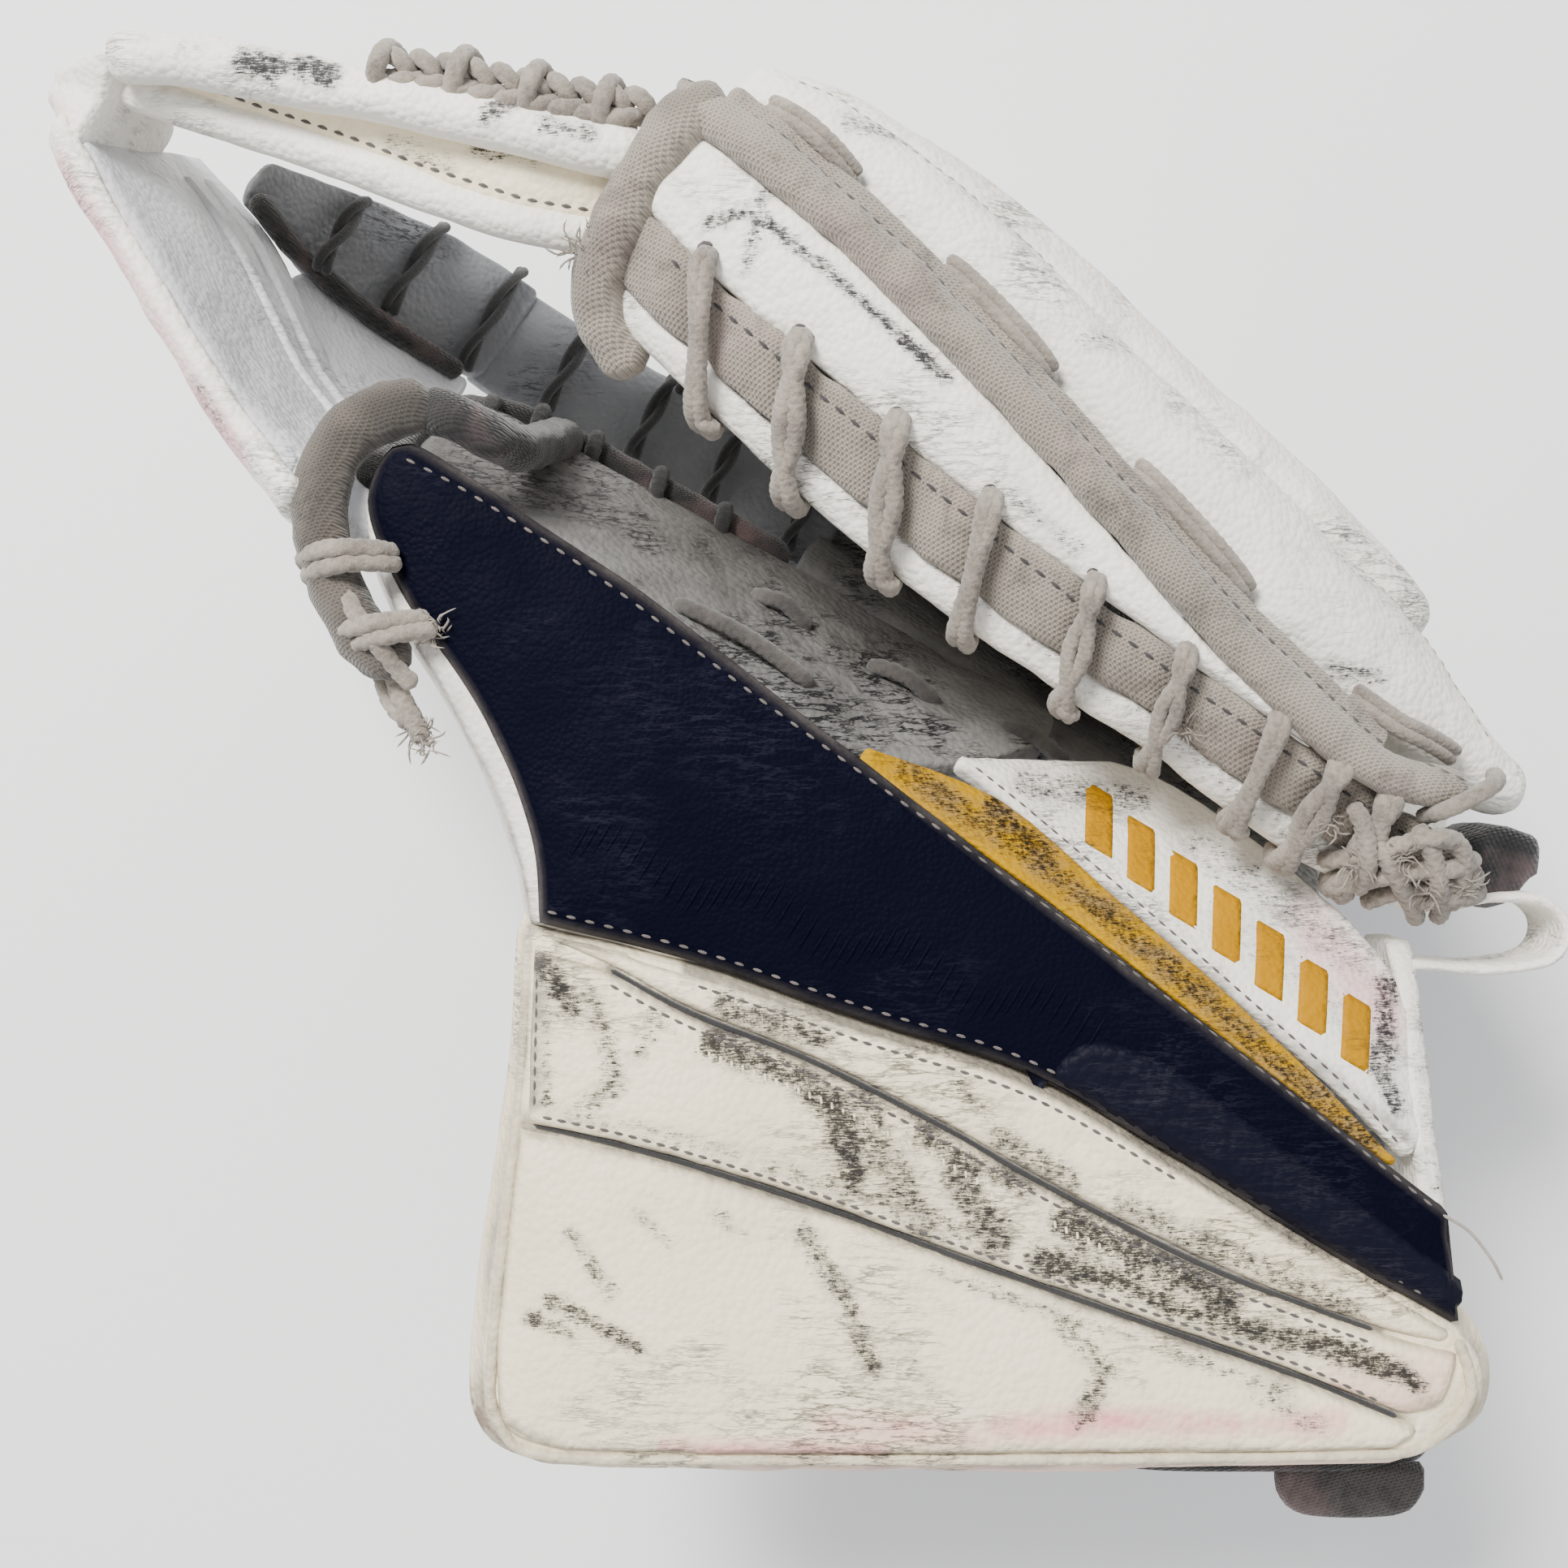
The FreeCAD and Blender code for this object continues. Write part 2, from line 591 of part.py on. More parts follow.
def t_bar():
    """The folding T that closes the pocket's far corner: its thumb leg and its finger leg."""
    band = (-9, 0)
    legs = [
        slab(251, [(-38, 149.5), (-25.5, 90)], band),
        slab(266, [(-30.5, 150), (-15.5, 90)], band),
        slab(295, [(-15, 150), (4, 92)], band),
        slab(316, [(-4, 150), (11, 100)], band),
    ]
    lofted("t_thumb_band", legs)
    lofted(
        "t_pocket_spine",
        [
            slab(253, [(6, 50), (35, 40)], (-1.5, -4.7)),
            slab(270, [(4, 62), (34, 52)], (-2.5, -4.3)),
            slab(287, [(4.5, 80), (28, 72)], (-3.5, -3.5)),
            slab(300, [(9, 101), (20, 95)], (-3.5, -3.5)),
        ],
    )
    side = [
        slab(253, [(-24.5, 88.5), (2.6, 54)], (-2, -2.4)),
        slab(268, [(-14.2, 88.5), (1.6, 63)], (-2, -2.4)),
        slab(286, [(-2.5, 90), (2, 81)], (-2, -2.4)),
    ]
    lofted("t_pocket_side", side)
    rim = [(252.5, -42, 153), (266, -35, 154), (295, -19.5, 154), (316, -8.5, 154)]
    mouth_tubes("t_thumb_piping", [[(a, y, z + 0.6) for a, y, z in rim]], "piping_radius")
    lofted(
        "t_finger_slab",
        [
            (233, [(27, 152), (50, 152), (50, 142), (27, 142)]),
            (250, [(24.5, 152), (44.5, 152), (44.5, 142), (24.5, 142)]),
            (286, [(16.5, 152), (32.5, 152), (32.5, 142), (16.5, 142)]),
            (316, [(10, 152), (18.5, 152), (18.5, 142), (10, 142)]),
        ],
    )
    lofted(
        "t_finger_wall",
        [
            slab(233, [(46, 141.5), (50.5, 96)], (6, 0)),
            slab(250, [(40, 141.5), (44.5, 96)], (6, 0)),
            slab(286, [(28, 141.5), (34.5, 96)], (6, 0)),
            slab(314, [(16.5, 141.5), (23, 102)], (4, 0)),
        ],
    )
    lower = [(232, 23.4, 147), (250, 20.8, 147.5), (286, 12.8, 148), (314, 6.6, 147)]
    mouth_tubes("t_lower_roll", [lower], "lace_radius")
    upper = [(232, 43.5, 160.5), (250, 37.5, 161), (286, 26, 161), (312, 14.5, 159.5)]
    mouth_tubes("t_upper_roll", [[(a, y, z + 0.8) for a, y, z in upper]], "roll_radius")
    knots = []
    for i in range(4):
        along, across = 234 + 15 * i, 57 - 5.4 * i
        knots.append([(along, across, 157), (along + 7, across - 1, 162), (along + 15, across - 7, 157)])
    mouth_tubes("t_outer_lace", knots, "thin_lace_radius")


thumb_board()
cuff_board()
heel()
pocket()
hand_side()
finger_side()
t_bar()

doc.recompute()
bad = [o.Name for o in doc.Objects if {"Invalid", "Error"} & set(o.State)]
if bad:
    raise SystemExit(f"failed objects: {bad}")
os.makedirs("parts", exist_ok=True)
for old in os.listdir("parts"):
    os.remove(os.path.join("parts", old))
for node in NODES:
    shape = node.Shape
    if shape.isNull() or not shape.isValid() or not shape.Solids:
        raise SystemExit(f"{node.Label} has no valid solid")
    shape.exportStep(f"parts/{node.Label}.step")
    print(node.Label, len(shape.Solids), round(shape.Volume / 1000, 2), "cm3")
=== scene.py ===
"""Looks of the goalie catching glove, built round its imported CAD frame.

Shapes are worked out in millimetres, in the two frames that the glove is designed in. The board frame
is the row's frame with its origin under the middle of the camera; the mouth frame runs along the fold
of the glove, as (station from the heel, across towards the finger side, height).
"""
import json
import math
import random
from collections import namedtuple

import bmesh
import bpy
import numpy as np
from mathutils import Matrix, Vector
from mathutils.bvhtree import BVHTree
from mathutils.geometry import delaunay_2d_cdt


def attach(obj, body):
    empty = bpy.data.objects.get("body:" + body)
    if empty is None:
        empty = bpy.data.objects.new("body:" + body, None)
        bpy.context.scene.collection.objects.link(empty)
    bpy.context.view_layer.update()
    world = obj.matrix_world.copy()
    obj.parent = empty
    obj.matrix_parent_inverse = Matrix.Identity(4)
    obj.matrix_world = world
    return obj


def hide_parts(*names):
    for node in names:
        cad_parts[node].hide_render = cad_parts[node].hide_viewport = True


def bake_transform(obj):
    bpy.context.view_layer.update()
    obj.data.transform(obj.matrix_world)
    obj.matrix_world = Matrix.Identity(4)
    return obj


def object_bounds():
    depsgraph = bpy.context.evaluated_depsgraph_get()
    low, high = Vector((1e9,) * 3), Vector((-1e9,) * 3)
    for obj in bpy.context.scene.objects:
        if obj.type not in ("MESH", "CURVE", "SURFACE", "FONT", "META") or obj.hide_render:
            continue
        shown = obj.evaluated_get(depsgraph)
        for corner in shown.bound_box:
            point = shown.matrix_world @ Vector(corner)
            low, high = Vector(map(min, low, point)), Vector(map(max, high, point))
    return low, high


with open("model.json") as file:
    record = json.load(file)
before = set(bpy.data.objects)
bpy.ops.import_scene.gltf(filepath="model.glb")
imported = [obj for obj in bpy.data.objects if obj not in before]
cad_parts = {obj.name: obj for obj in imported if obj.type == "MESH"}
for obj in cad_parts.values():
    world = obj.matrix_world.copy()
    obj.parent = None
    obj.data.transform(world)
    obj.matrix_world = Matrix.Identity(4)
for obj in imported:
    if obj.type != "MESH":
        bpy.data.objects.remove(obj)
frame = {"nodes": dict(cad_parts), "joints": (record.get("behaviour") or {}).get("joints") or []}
cad_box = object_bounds()
random.seed(7)

MM = 0.001
BOARD_ORIGIN = np.array([-85.0, 55.0, 0.0])
ABOVE_ALL = 0.4  # metres, higher than any piece, for rays that look down
DOWN = Vector((0, 0, -1))
HINGE = next(j for j in frame["joints"] if j["name"] == "break_hinge")
ALONG = np.array(HINGE["axis"])  # from the heel to the far corner
ACROSS = np.array([-ALONG[1], ALONG[0], 0.0]) * -1.0  # from the thumb side to the finger side
HINGE_STATION = 77.0  # the hinge's origin, in the mouth frame
HINGE_ACROSS = 30.0
HEEL = np.array(HINGE["pos_m"]) / MM - HINGE_STATION * ALONG - HINGE_ACROSS * ACROSS
HEEL[2] = 0.0


def board(points):
    """Board frame to row frame, both in millimetres."""
    return np.asarray(points, float) + BOARD_ORIGIN


def mouth(points):
    """Mouth frame to row frame, both in millimetres."""
    p = np.asarray(points, float)
    return HEEL + p[..., :1] * ALONG + p[..., 1:2] * ACROSS + p[..., 2:] * np.array([0.0, 0.0, 1.0])


def mouth_plan(points):
    """(station, across) pairs as board frame (x, y) pairs."""
    p = np.array([[s, t, 0.0] for s, t in points])
    return (mouth(p) - BOARD_ORIGIN)[:, :2]


# ---------------------------------------------------------------- numbers and curves


def value_noise(points, scale, seed):
    """Smooth noise from -1 to 1. scale is the size of its cells, a number or one for each axis."""
    q = points / np.asarray(scale, float) + 31.7 * seed
    cell = np.floor(q).astype(np.int64)
    f = q - cell
    f = f * f * (3 - 2 * f)
    total = np.zeros(len(points))
    for corner in range(8):
        step = np.array([corner & 1, corner >> 1 & 1, corner >> 2 & 1])
        k = cell + step
        n = (k[:, 0] * 374761393 + k[:, 1] * 668265263 + k[:, 2] * 974634777 + seed * 144665) & 0xFFFFFFFF
        n = ((n ^ (n >> 13)) * 1274126177) & 0xFFFFFFFF
        weight = np.prod(np.where(step, f, 1 - f), axis=1)
        total += weight * (((n ^ (n >> 16)) & 0xFFFF) / 32767.5 - 1)
    return total


def spline(points, step=1.0):
    """A smooth curve through the points, sampled about every step."""
    p = np.asarray(points, float)
    n = len(p)
    out = []
    for i in range(n - 1):
        a, b, c, d = (p[min(max(i + k, 0), n - 1)] for k in (-1, 0, 1, 2))
        count = max(2, int(np.linalg.norm(c - b) / step))
        u = np.linspace(0, 1, count, endpoint=False)[:, None]
        out.append(0.5 * (2 * b + (c - a) * u + (2 * a - 5 * b + 4 * c - d) * u**2
                          + (3 * b - a - 3 * c + d) * u**3))
    out.append(p[-1:])
    return np.vstack(out)


def resample(line, step, closed=False):
    """Points evenly spaced along a line, about step apart."""
    p = np.vstack([line, line[:1]]) if closed else np.asarray(line, float)
    run = np.concatenate([[0], np.cumsum(np.linalg.norm(np.diff(p, axis=0), axis=1))])
    count = max(2, int(round(run[-1] / step)) + 1)
    at = np.linspace(0, run[-1], count)
    even = np.stack([np.interp(at, run, p[:, k]) for k in range(p.shape[1])], axis=1)
    return even[:-1] if closed else even


def outline(*runs, step=2.0):
    """A closed outline in plan. A run of one point is a straight line to it, a longer one a curve."""
    last = runs[-1][-1]
    parts = []
    for run in runs:
        whole = np.array([last] + list(run), float)
        parts.append(whole[:-1] if len(whole) == 2 else spline(whole, step)[:-1])
        last = run[-1]
    return resample(np.vstack(parts), step, closed=True)


def signed_area(rim):
    """The area inside a rim in plan, below zero where it runs clockwise."""
    return 0.5 * np.sum(rim[:, 0] * np.roll(rim[:, 1], -1) - np.roll(rim[:, 0], -1) * rim[:, 1])


def plan_distance(points, line, closed=False):
    """Distance in plan from each point to a line."""
    p = np.asarray(points, float)[:, None, :2]
    a = np.asarray(line, float)[:, :2]
    b = np.roll(a, -1, axis=0) if closed else a[1:]
    a = a if closed else a[:-1]
    d = b - a
    u = np.clip(((p - a) * d).sum(2) / np.maximum((d * d).sum(1), 1e-9), 0, 1)
    return np.sqrt((((a + u[..., None] * d) - p) ** 2).sum(2)).min(1)


# ---------------------------------------------------------------- meshes


def new_mesh(name, verts, faces, uv=None):
    """A smooth mesh object from row-frame millimetres."""
    mesh = bpy.data.meshes.new(name)
    mesh.from_pydata((np.asarray(verts) * MM).tolist(), [], faces)
    mesh.validate()
    if uv is not None:
        layer = mesh.uv_layers.new(name="UVMap")
        index = read(mesh.loops, "vertex_index", np.zeros(len(mesh.loops), int))
        layer.data.foreach_set("uv", (np.asarray(uv) * MM)[index].ravel())
    mesh.shade_smooth()
    obj = bpy.data.objects.new(name, mesh)
    bpy.context.scene.collection.objects.link(obj)
    return obj


def read(items, key, values):
    """One attribute of many mesh items, read into an array of zeros."""
    items.foreach_get(key, values)
    return values


def vertices(obj):
    """An object's points in board-frame millimetres."""
    mesh = obj.data
    return read(mesh.vertices, "co", np.zeros(len(mesh.vertices) * 3)).reshape(-1, 3) / MM - BOARD_ORIGIN


def normals(obj):
    """An object's unit normals."""
    mesh = obj.data
    return read(mesh.vertex_normals, "vector", np.zeros(len(mesh.vertices) * 3)).reshape(-1, 3)


def move_points(obj, points):
    """Puts an object's points at board-frame millimetres."""
    obj.data.vertices.foreach_set("co", ((points + BOARD_ORIGIN) * MM).ravel())
    obj.data.update()


def rumple(obj, amount, scale, seed=1, keep=None):
    """Uneven leather or cloth: moves points along their normals by smooth noise of two sizes."""
    p = vertices(obj)
    shift = amount * value_noise(p, scale, seed) + 0.4 * amount * value_noise(p, np.asarray(scale) / 2.7,
                                                                              seed + 5)
    if keep is not None:
        shift *= keep(p)
    move_points(obj, p + normals(obj) * shift[:, None])


def crease(obj, line, depth, width):
    """Sinks a seam or a fold along a line in plan."""
    p = vertices(obj)
    near = np.exp(-((plan_distance(p, line) / width) ** 2))
    up = normals(obj)
    move_points(obj, p - up * (depth * near * np.clip(up[:, 2] * 1.5, 0, 1))[:, None])


def ring_faces(rows, around):
    """Quads between rings of points, ring by ring."""
    faces = []
    for low in range(0, (rows - 1) * around, around):
        high = low + around
        for j in range(around):
            k = (j + 1) % around
            faces.append((low + j, low + k, high + k, high + j))
    return faces


def capped_rings(rows, around):
    """Quads between rings of points, with the first and the last ring closed."""
    first, last = tuple(range(around))[::-1], tuple(range((rows - 1) * around, rows * around))
    return ring_faces(rows, around) + [first, last]


def tube(name, points, radius, frame_of=board, around=14, step=0.8, shape=None, flat=1.0):
    """A tube along a smooth curve. shape(u along, angle) scales its radius; flat squeezes it."""
    line = resample(spline(frame_of(points), 0.8), step)
    ways = np.gradient(line, axis=0)
    ways /= np.linalg.norm(ways, axis=1)[:, None]
    side = np.cross(ways[0], [0.0, 0.0, 1.0])
    if np.linalg.norm(side) < 0.1:
        side = np.cross(ways[0], [1.0, 0.0, 0.0])
    angles = np.linspace(0, 2 * math.pi, around, endpoint=False)
    run = np.concatenate([[0], np.cumsum(np.linalg.norm(np.diff(line, axis=0), axis=1))])
    rings, uvs, grooves = [], [], []
    for i, (point, way) in enumerate(zip(line, ways)):
        side = side - way * side.dot(way)
        side /= np.linalg.norm(side)
        up = np.cross(side, way)
        end = min(run[i], run[-1] - run[i]) / radius
        r = radius * math.sqrt(max(0.0, 1 - max(0.0, 1 - end) ** 2)) if end < 1 else radius
        grown = np.full(around, max(r, radius * 0.02))
        swell = shape(run[i], angles) if shape else np.ones(around)
        grown = grown * swell
        grooves.append(np.clip(1.05 - swell, 0, 1) * 4 if shape else np.zeros(around))
        circle = np.cos(angles)[:, None] * side + flat * np.sin(angles)[:, None] * up
        rings.append(point + grown[:, None] * circle)
        uvs.append(np.stack([np.full(around, run[i]), angles * radius], axis=1))
    obj = new_mesh(name, np.vstack(rings), capped_rings(len(rings), around), np.vstack(uvs))
    # The braid's grooves get painted shade, kept with the marks that darken the colour.
    if shape:
        keep_marks(obj, "dirt_and_shade", np.concatenate(grooves))
    return obj


def braid(pitch=3.4, depth=0.1):
    """The ridges of a braided lace."""
    def shape(run, angles):
        turn = 2 * math.pi * run / pitch
        return 1 + depth * np.maximum(np.cos(4 * angles + turn), np.cos(4 * angles - turn + math.pi / 2))
    return shape


def plate(name, rim, top, bottom, edge=3.0, spacing=2.2, belly=0.0):
    """A padded panel in plan: a rounded top, a side wall that bellies out, and a flat underside.
    top is a height or a function of the points."""
    rim = np.asarray(rim, float)
    way = np.roll(rim, -1, axis=0) - np.roll(rim, 1, axis=0)
    way /= np.linalg.norm(way, axis=1)[:, None]
    area = signed_area(rim)
    out = np.stack([way[:, 1], -way[:, 0]], axis=1) * math.copysign(1, area)
    points = [rim]
    for inset in (0.12 * edge, 0.4 * edge, 0.8 * edge):
        ring = rim - out * inset
        points.append(ring[plan_distance(ring, rim, True) > 0.93 * inset])
    low, high = rim.min(0), rim.max(0)
    xs, ys = np.meshgrid(np.arange(low[0], high[0], spacing), np.arange(low[1], high[1], spacing * 0.87))
    xs[1::2] += spacing / 2
    grid = np.stack([xs.ravel(), ys.ravel()], axis=1)
    ring = np.vstack(points)
    far = plan_distance(grid, rim, True) > 0.8 * edge + 0.5 * spacing
    points.append(grid[far])
    flat = np.vstack(points)
    count = len(rim)
    edges = [(i, (i + 1) % count) for i in range(count)]
    verts, _, faces, *_ = delaunay_2d_cdt([Vector(p) for p in flat.tolist()], edges, [], 1, 1e-5)
    flat = np.array([tuple(v) for v in verts])
    away = plan_distance(flat, rim, True)
    height = top(flat) if callable(top) else np.full(len(flat), float(top))
    inner = np.clip(away / edge, 0, 1)
    height = height - edge * (1 - np.sqrt(1 - (1 - inner) ** 2))
    whole = [np.column_stack([flat, height])]
    all_faces = [tuple(f) if turned(flat, f) > 0 else tuple(f[::-1]) for f in faces]
    rim_ids = list(range(count))
    start = height[:count]
    last = rim_ids
    total = len(flat)
    direction = 1 if area > 0 else -1
    for share, push in ((0.25, 0.7), (0.5, 1.0), (0.75, 0.75), (1.0, 0.0)):
        level = start + (bottom - start) * share
        whole.append(np.column_stack([rim + out * belly * push, level]))
        ids = list(range(total, total + count))
        total += count
        for i in range(count):
            j = (i + 1) % count
            quad = (last[i], ids[i], ids[j], last[j])
            all_faces.append(quad if direction > 0 else quad[::-1])
        last = ids
    under = np.column_stack([flat[count:], np.full(len(flat) - count, float(bottom))])
    whole.append(under)
    remap = {i: last[i] if i < count else total + i - count for i in range(len(flat))}
    all_faces += [tuple(remap[i] for i in f)[::-1] for f in all_faces[: len(faces)]]
    verts = np.vstack(whole)
    obj = new_mesh(name, board(verts), all_faces, verts[:, :2])
    # Painted shade along every panel's rim, where its rounded edge meets the next part.
    grime_and_shade = 0.95 * np.clip(1.2 - plan_distance(verts, rim, True) / 1.2, 0, 1)
    keep_marks(obj, "dirt_and_shade", grime_and_shade * (0.75 + 0.45 * value_noise(verts, 9.0, 3)))
    return obj


def turned(flat, face):
    """Twice the signed area of a triangle in plan."""
    a, b, c = (flat[i] for i in face[:3])
    return (b[0] - a[0]) * (c[1] - a[1]) - (b[1] - a[1]) * (c[0] - a[0])


END_CAP = ((0.97, 0.3), (0.85, 0.75), (0.5, 1.0), (0.05, 1.05))  # size of the ring, how far out


def loft(name, stations, step=2.0, soft=2.5, puff=0.0, per_edge=None, frame_of=mouth, cap=2.0):
    """A soft closed form through sections, with rounded corners and crowned faces.
    stations maps a place along the piece to the corners of its section there."""
    keys = sorted(stations)
    corners = np.array([stations[k] for k in keys], float)
    lengths = np.linalg.norm(np.roll(corners, -1, axis=1) - corners, axis=2).mean(0)
    counts = per_edge or [max(3, int(length / 2.0)) for length in lengths]
    puffs = puff if hasattr(puff, "__len__") else [puff] * len(counts)
    dense = spline(np.column_stack([np.array(keys, float), corners.reshape(len(keys), -1)]), 8.0)
    dense = resample_rows(dense, step)
    rings = []
    for row in dense:
        ring = row[1:].reshape(-1, 2)
        rings.append((row[0], rounded_section(ring, counts, puffs, soft)))
    around = sum(counts)
    first, last = rings[0], rings[-1]
    for (place, ring), sign in ((first, -1), (last, 1)):
        middle = ring.mean(0)
        extra = [(place + sign * cap * lift, middle + (ring - middle) * size) for size, lift in END_CAP]
        rings = rings + extra if sign > 0 else extra[::-1] + rings
    points = np.vstack([np.column_stack([np.full(around, place), ring]) for place, ring in rings])
    faces = capped_rings(len(rings), around)
    ring_run = np.tile(np.linspace(0, float(lengths.sum()), around), len(rings))
    uv = np.column_stack([points[:, 0], ring_run])
    obj = new_mesh(name, frame_of(points), faces, uv)
    fix_normals(obj)
    return obj


def resample_rows(rows, step):
    """Rows at even steps of their first column."""
    order = np.argsort(rows[:, 0])
    rows = rows[order]
    at = np.arange(rows[0, 0], rows[-1, 0] + step * 0.5, step)
    at[-1] = rows[-1, 0]
    return np.stack([np.interp(at, rows[:, 0], rows[:, k]) for k in range(rows.shape[1])], axis=1)


def rounded_section(ring, counts, puffs, soft):
    """A section's corners as a smooth closed ring, with a set number of points on each side."""
    nxt = np.roll(ring, -1, axis=0)
    area = np.sum(ring[:, 0] * nxt[:, 1] - nxt[:, 0] * ring[:, 1])
    parts = []
    for a, b, count, puff in zip(ring, nxt, counts, puffs):
        u = np.linspace(0, 1, count, endpoint=False)[:, None]
        side = b - a
        out = np.array([side[1], -side[0]]) / (np.linalg.norm(side) + 1e-9) * math.copysign(1, area)
        parts.append(a + side * u + out * puff * 4 * u * (1 - u))
    p = np.vstack(parts)
    spacing = np.linalg.norm(np.roll(p, -1, axis=0) - p, axis=1)
    for _ in range(int(np.clip(soft**2 / np.median(spacing) ** 2, 1, 12))):
        p = 0.25 * np.roll(p, 1, axis=0) + 0.5 * p + 0.25 * np.roll(p, -1, axis=0)
    return p


def fix_normals(obj):
    """Turns a closed mesh so that its normals point out."""
    bm = bmesh.new()
    bm.from_mesh(obj.data)
    bmesh.ops.recalc_face_normals(bm, faces=bm.faces)
    bm.to_mesh(obj.data)
    bm.free()
    obj.data.shade_smooth()


def joined(name, objs):
    """Several meshes as one piece."""
    verts, faces, uvs, marks, start = [], [], [], [], 0
    for o in objs:
        co = vertices(o) + BOARD_ORIGIN
        verts.append(co)
        faces += [tuple(v + start for v in f.vertices) for f in o.data.polygons]
        uv = np.zeros((len(co), 2))
        if o.data.uv_layers:
            corners = len(o.data.loops)
            raw = read(o.data.uv_layers[0].data, "uv", np.zeros(corners * 2))
            index = read(o.data.loops, "vertex_index", np.zeros(corners, int))
            uv[index] = raw.reshape(-1, 2) / MM
        uvs.append(uv)
        # Keeps each part's marks of real dirt and painted shade.
        dirt_and_shade = np.zeros(len(co), np.float32)
        if "dirt_and_shade" in o.data.attributes:
            o.data.attributes["dirt_and_shade"].data.foreach_get("value", dirt_and_shade)
        marks.append(dirt_and_shade)
        start += len(co)
        bpy.data.objects.remove(o)
    obj = new_mesh(name, np.vstack(verts), faces, np.vstack(uvs))
    keep_marks(obj, "dirt_and_shade", np.concatenate(marks))
    return obj


def trees_of(surfaces):
    """Search trees over the shapes that the surfaces have now."""
    return [BVHTree.FromObject(o, bpy.context.evaluated_depsgraph_get()) for o in surfaces]


def height_at(x, y, trees):
    """The height of the highest surface under a point in plan, or None over nothing."""
    start = Vector(((x + BOARD_ORIGIN[0]) * MM, (y + BOARD_ORIGIN[1]) * MM, ABOVE_ALL))
    hits = [tree.ray_cast(start, DOWN)[0] for tree in trees]
    return max((hit.z / MM for hit in hits if hit is not None), default=None)


def drop(line, surfaces, lift=0.0):
    """Lays a plan line on the highest of the surfaces under it. Points over nothing are left out."""
    trees = trees_of(surfaces)
    laid = [(x, y, height_at(x, y, trees)) for x, y in np.asarray(line, float)[:, :2]]
    return np.array([(x, y, z + lift) for x, y, z in laid if z is not None])


def drop_all(flat, surfaces):
    """The height of the surfaces under every point, taken from the nearest one where there is none."""
    trees = trees_of(surfaces)
    heights = np.array([height_at(x, y, trees) for x, y in flat], float)
    known = ~np.isnan(heights)
    for i in np.flatnonzero(~known):
        nearest = np.argmin(((flat[known] - flat[i]) ** 2).sum(1))
        heights[i] = heights[known][nearest]
    return heights


def drape(name, rim, surfaces, thick, spacing=1.8):
    """A thin patch laid over the surfaces under it, with a rounded edge."""
    low, high = rim.min(0), rim.max(0)
    xs, ys = np.meshgrid(np.arange(low[0], high[0], spacing), np.arange(low[1], high[1], spacing))
    grid = np.stack([xs.ravel(), ys.ravel()], axis=1)
    grid = grid[plan_distance(grid, rim, True) > 0.6 * spacing]
    count = len(rim)
    edges = [(i, (i + 1) % count) for i in range(count)]
    verts, _, faces, *_ = delaunay_2d_cdt([Vector(p) for p in np.vstack([rim, grid]).tolist()], edges, [], 1,
                                          1e-5)
    flat = np.array([tuple(v) for v in verts])
    laid = drop_all(flat, surfaces)
    away = np.clip(plan_distance(flat, rim, True) / 1.2, 0, 1)
    top = laid + thick * np.sqrt(1 - (1 - away) ** 2)
    under = laid - 0.6
    n = len(flat)
    tops = [tuple(f) if turned(flat, f) > 0 else tuple(f[::-1]) for f in faces]
    area = signed_area(rim)
    sides = []
    for i in range(count):
        j = (i + 1) % count
        quad = (i, i + n, j + n, j)
        sides.append(quad if area > 0 else quad[::-1])
    bottoms = [tuple(v + n for v in f[::-1]) for f in tops]
    points = np.vstack([np.column_stack([flat, top]), np.column_stack([flat, under])])
    return new_mesh(name, board(points), tops + sides + bottoms, points[:, :2])


def stitches(name, line, surfaces, pitch=4.2, length=3.0, radius=0.42, lift=0.1):
    """A row of thread stitches along a line in plan, laid on the surfaces."""
    path = drop(resample(np.asarray(line, float)[:, :2], 0.5), surfaces, lift)
    return beads(name, board(path), pitch, length, radius)


def beads(name, path, pitch, length, radius):
    """Short thread stitches along a line in the row's frame, sampled every half millimetre."""
    verts, faces = [], []
    per = max(2, int(length / 0.5))
    gap = max(per + 1, int(pitch / 0.5))
    sides = 6
    ring = np.linspace(0, 2 * math.pi, sides, endpoint=False)
    for start in range(0, len(path) - per, gap):
        run = path[start : start + per + 1]
        if np.abs(np.diff(run[:, 2])).max() > 1.2:
            continue
        way = run[-1] - run[0]
        side = np.cross(way, [0.02, 0, 1.0])
        side /= np.linalg.norm(side) + 1e-9
        up = np.cross(side, way)
        up /= np.linalg.norm(up) + 1e-9
        base = len(verts)
        for i, point in enumerate(run):
            u = i / per
            r = radius * (0.35 + 0.65 * math.sin(math.pi * min(max(u, 0.06), 0.94)))
            low = -0.35 * (1 - math.sin(math.pi * u))
            verts += [point + side * r * math.cos(a) + up * (r * 0.8 * math.sin(a) + low) for a in ring]
        faces += [tuple(base + v for v in f) for f in capped_rings(len(run), sides)]
    verts = np.array(verts)
    return new_mesh(name, verts, faces, verts[:, :2])


def paint(obj, layer, strokes):
    """Marks on a surface, kept at its points: (line in plan, width, strength) for each stroke."""
    p = vertices(obj)
    amount = np.zeros(len(p))
    wander = value_noise(p, 6.0, 3)
    for line, width, strength in strokes:
        away = plan_distance(p, line) + 0.25 * width * wander
        amount = np.maximum(amount, strength * np.clip(1.4 - away / width, 0, 1))
    keep_marks(obj, layer, amount)


def paint_mouth(obj, layer, strokes):
    """Marks whose lines are (station, across) pairs."""
    paint(obj, layer, [(mouth_plan(line), width, strength) for line, width, strength in strokes])


def keep_marks(obj, layer, amount):
    """Stores marks at an object's points, over those that are there."""
    attribute = obj.data.attributes.get(layer) or obj.data.attributes.new(layer, "FLOAT", "POINT")
    old = read(attribute.data, "value", np.zeros(len(amount), np.float32))
    attribute.data.foreach_set("value", np.maximum(old, amount).astype(np.float32))


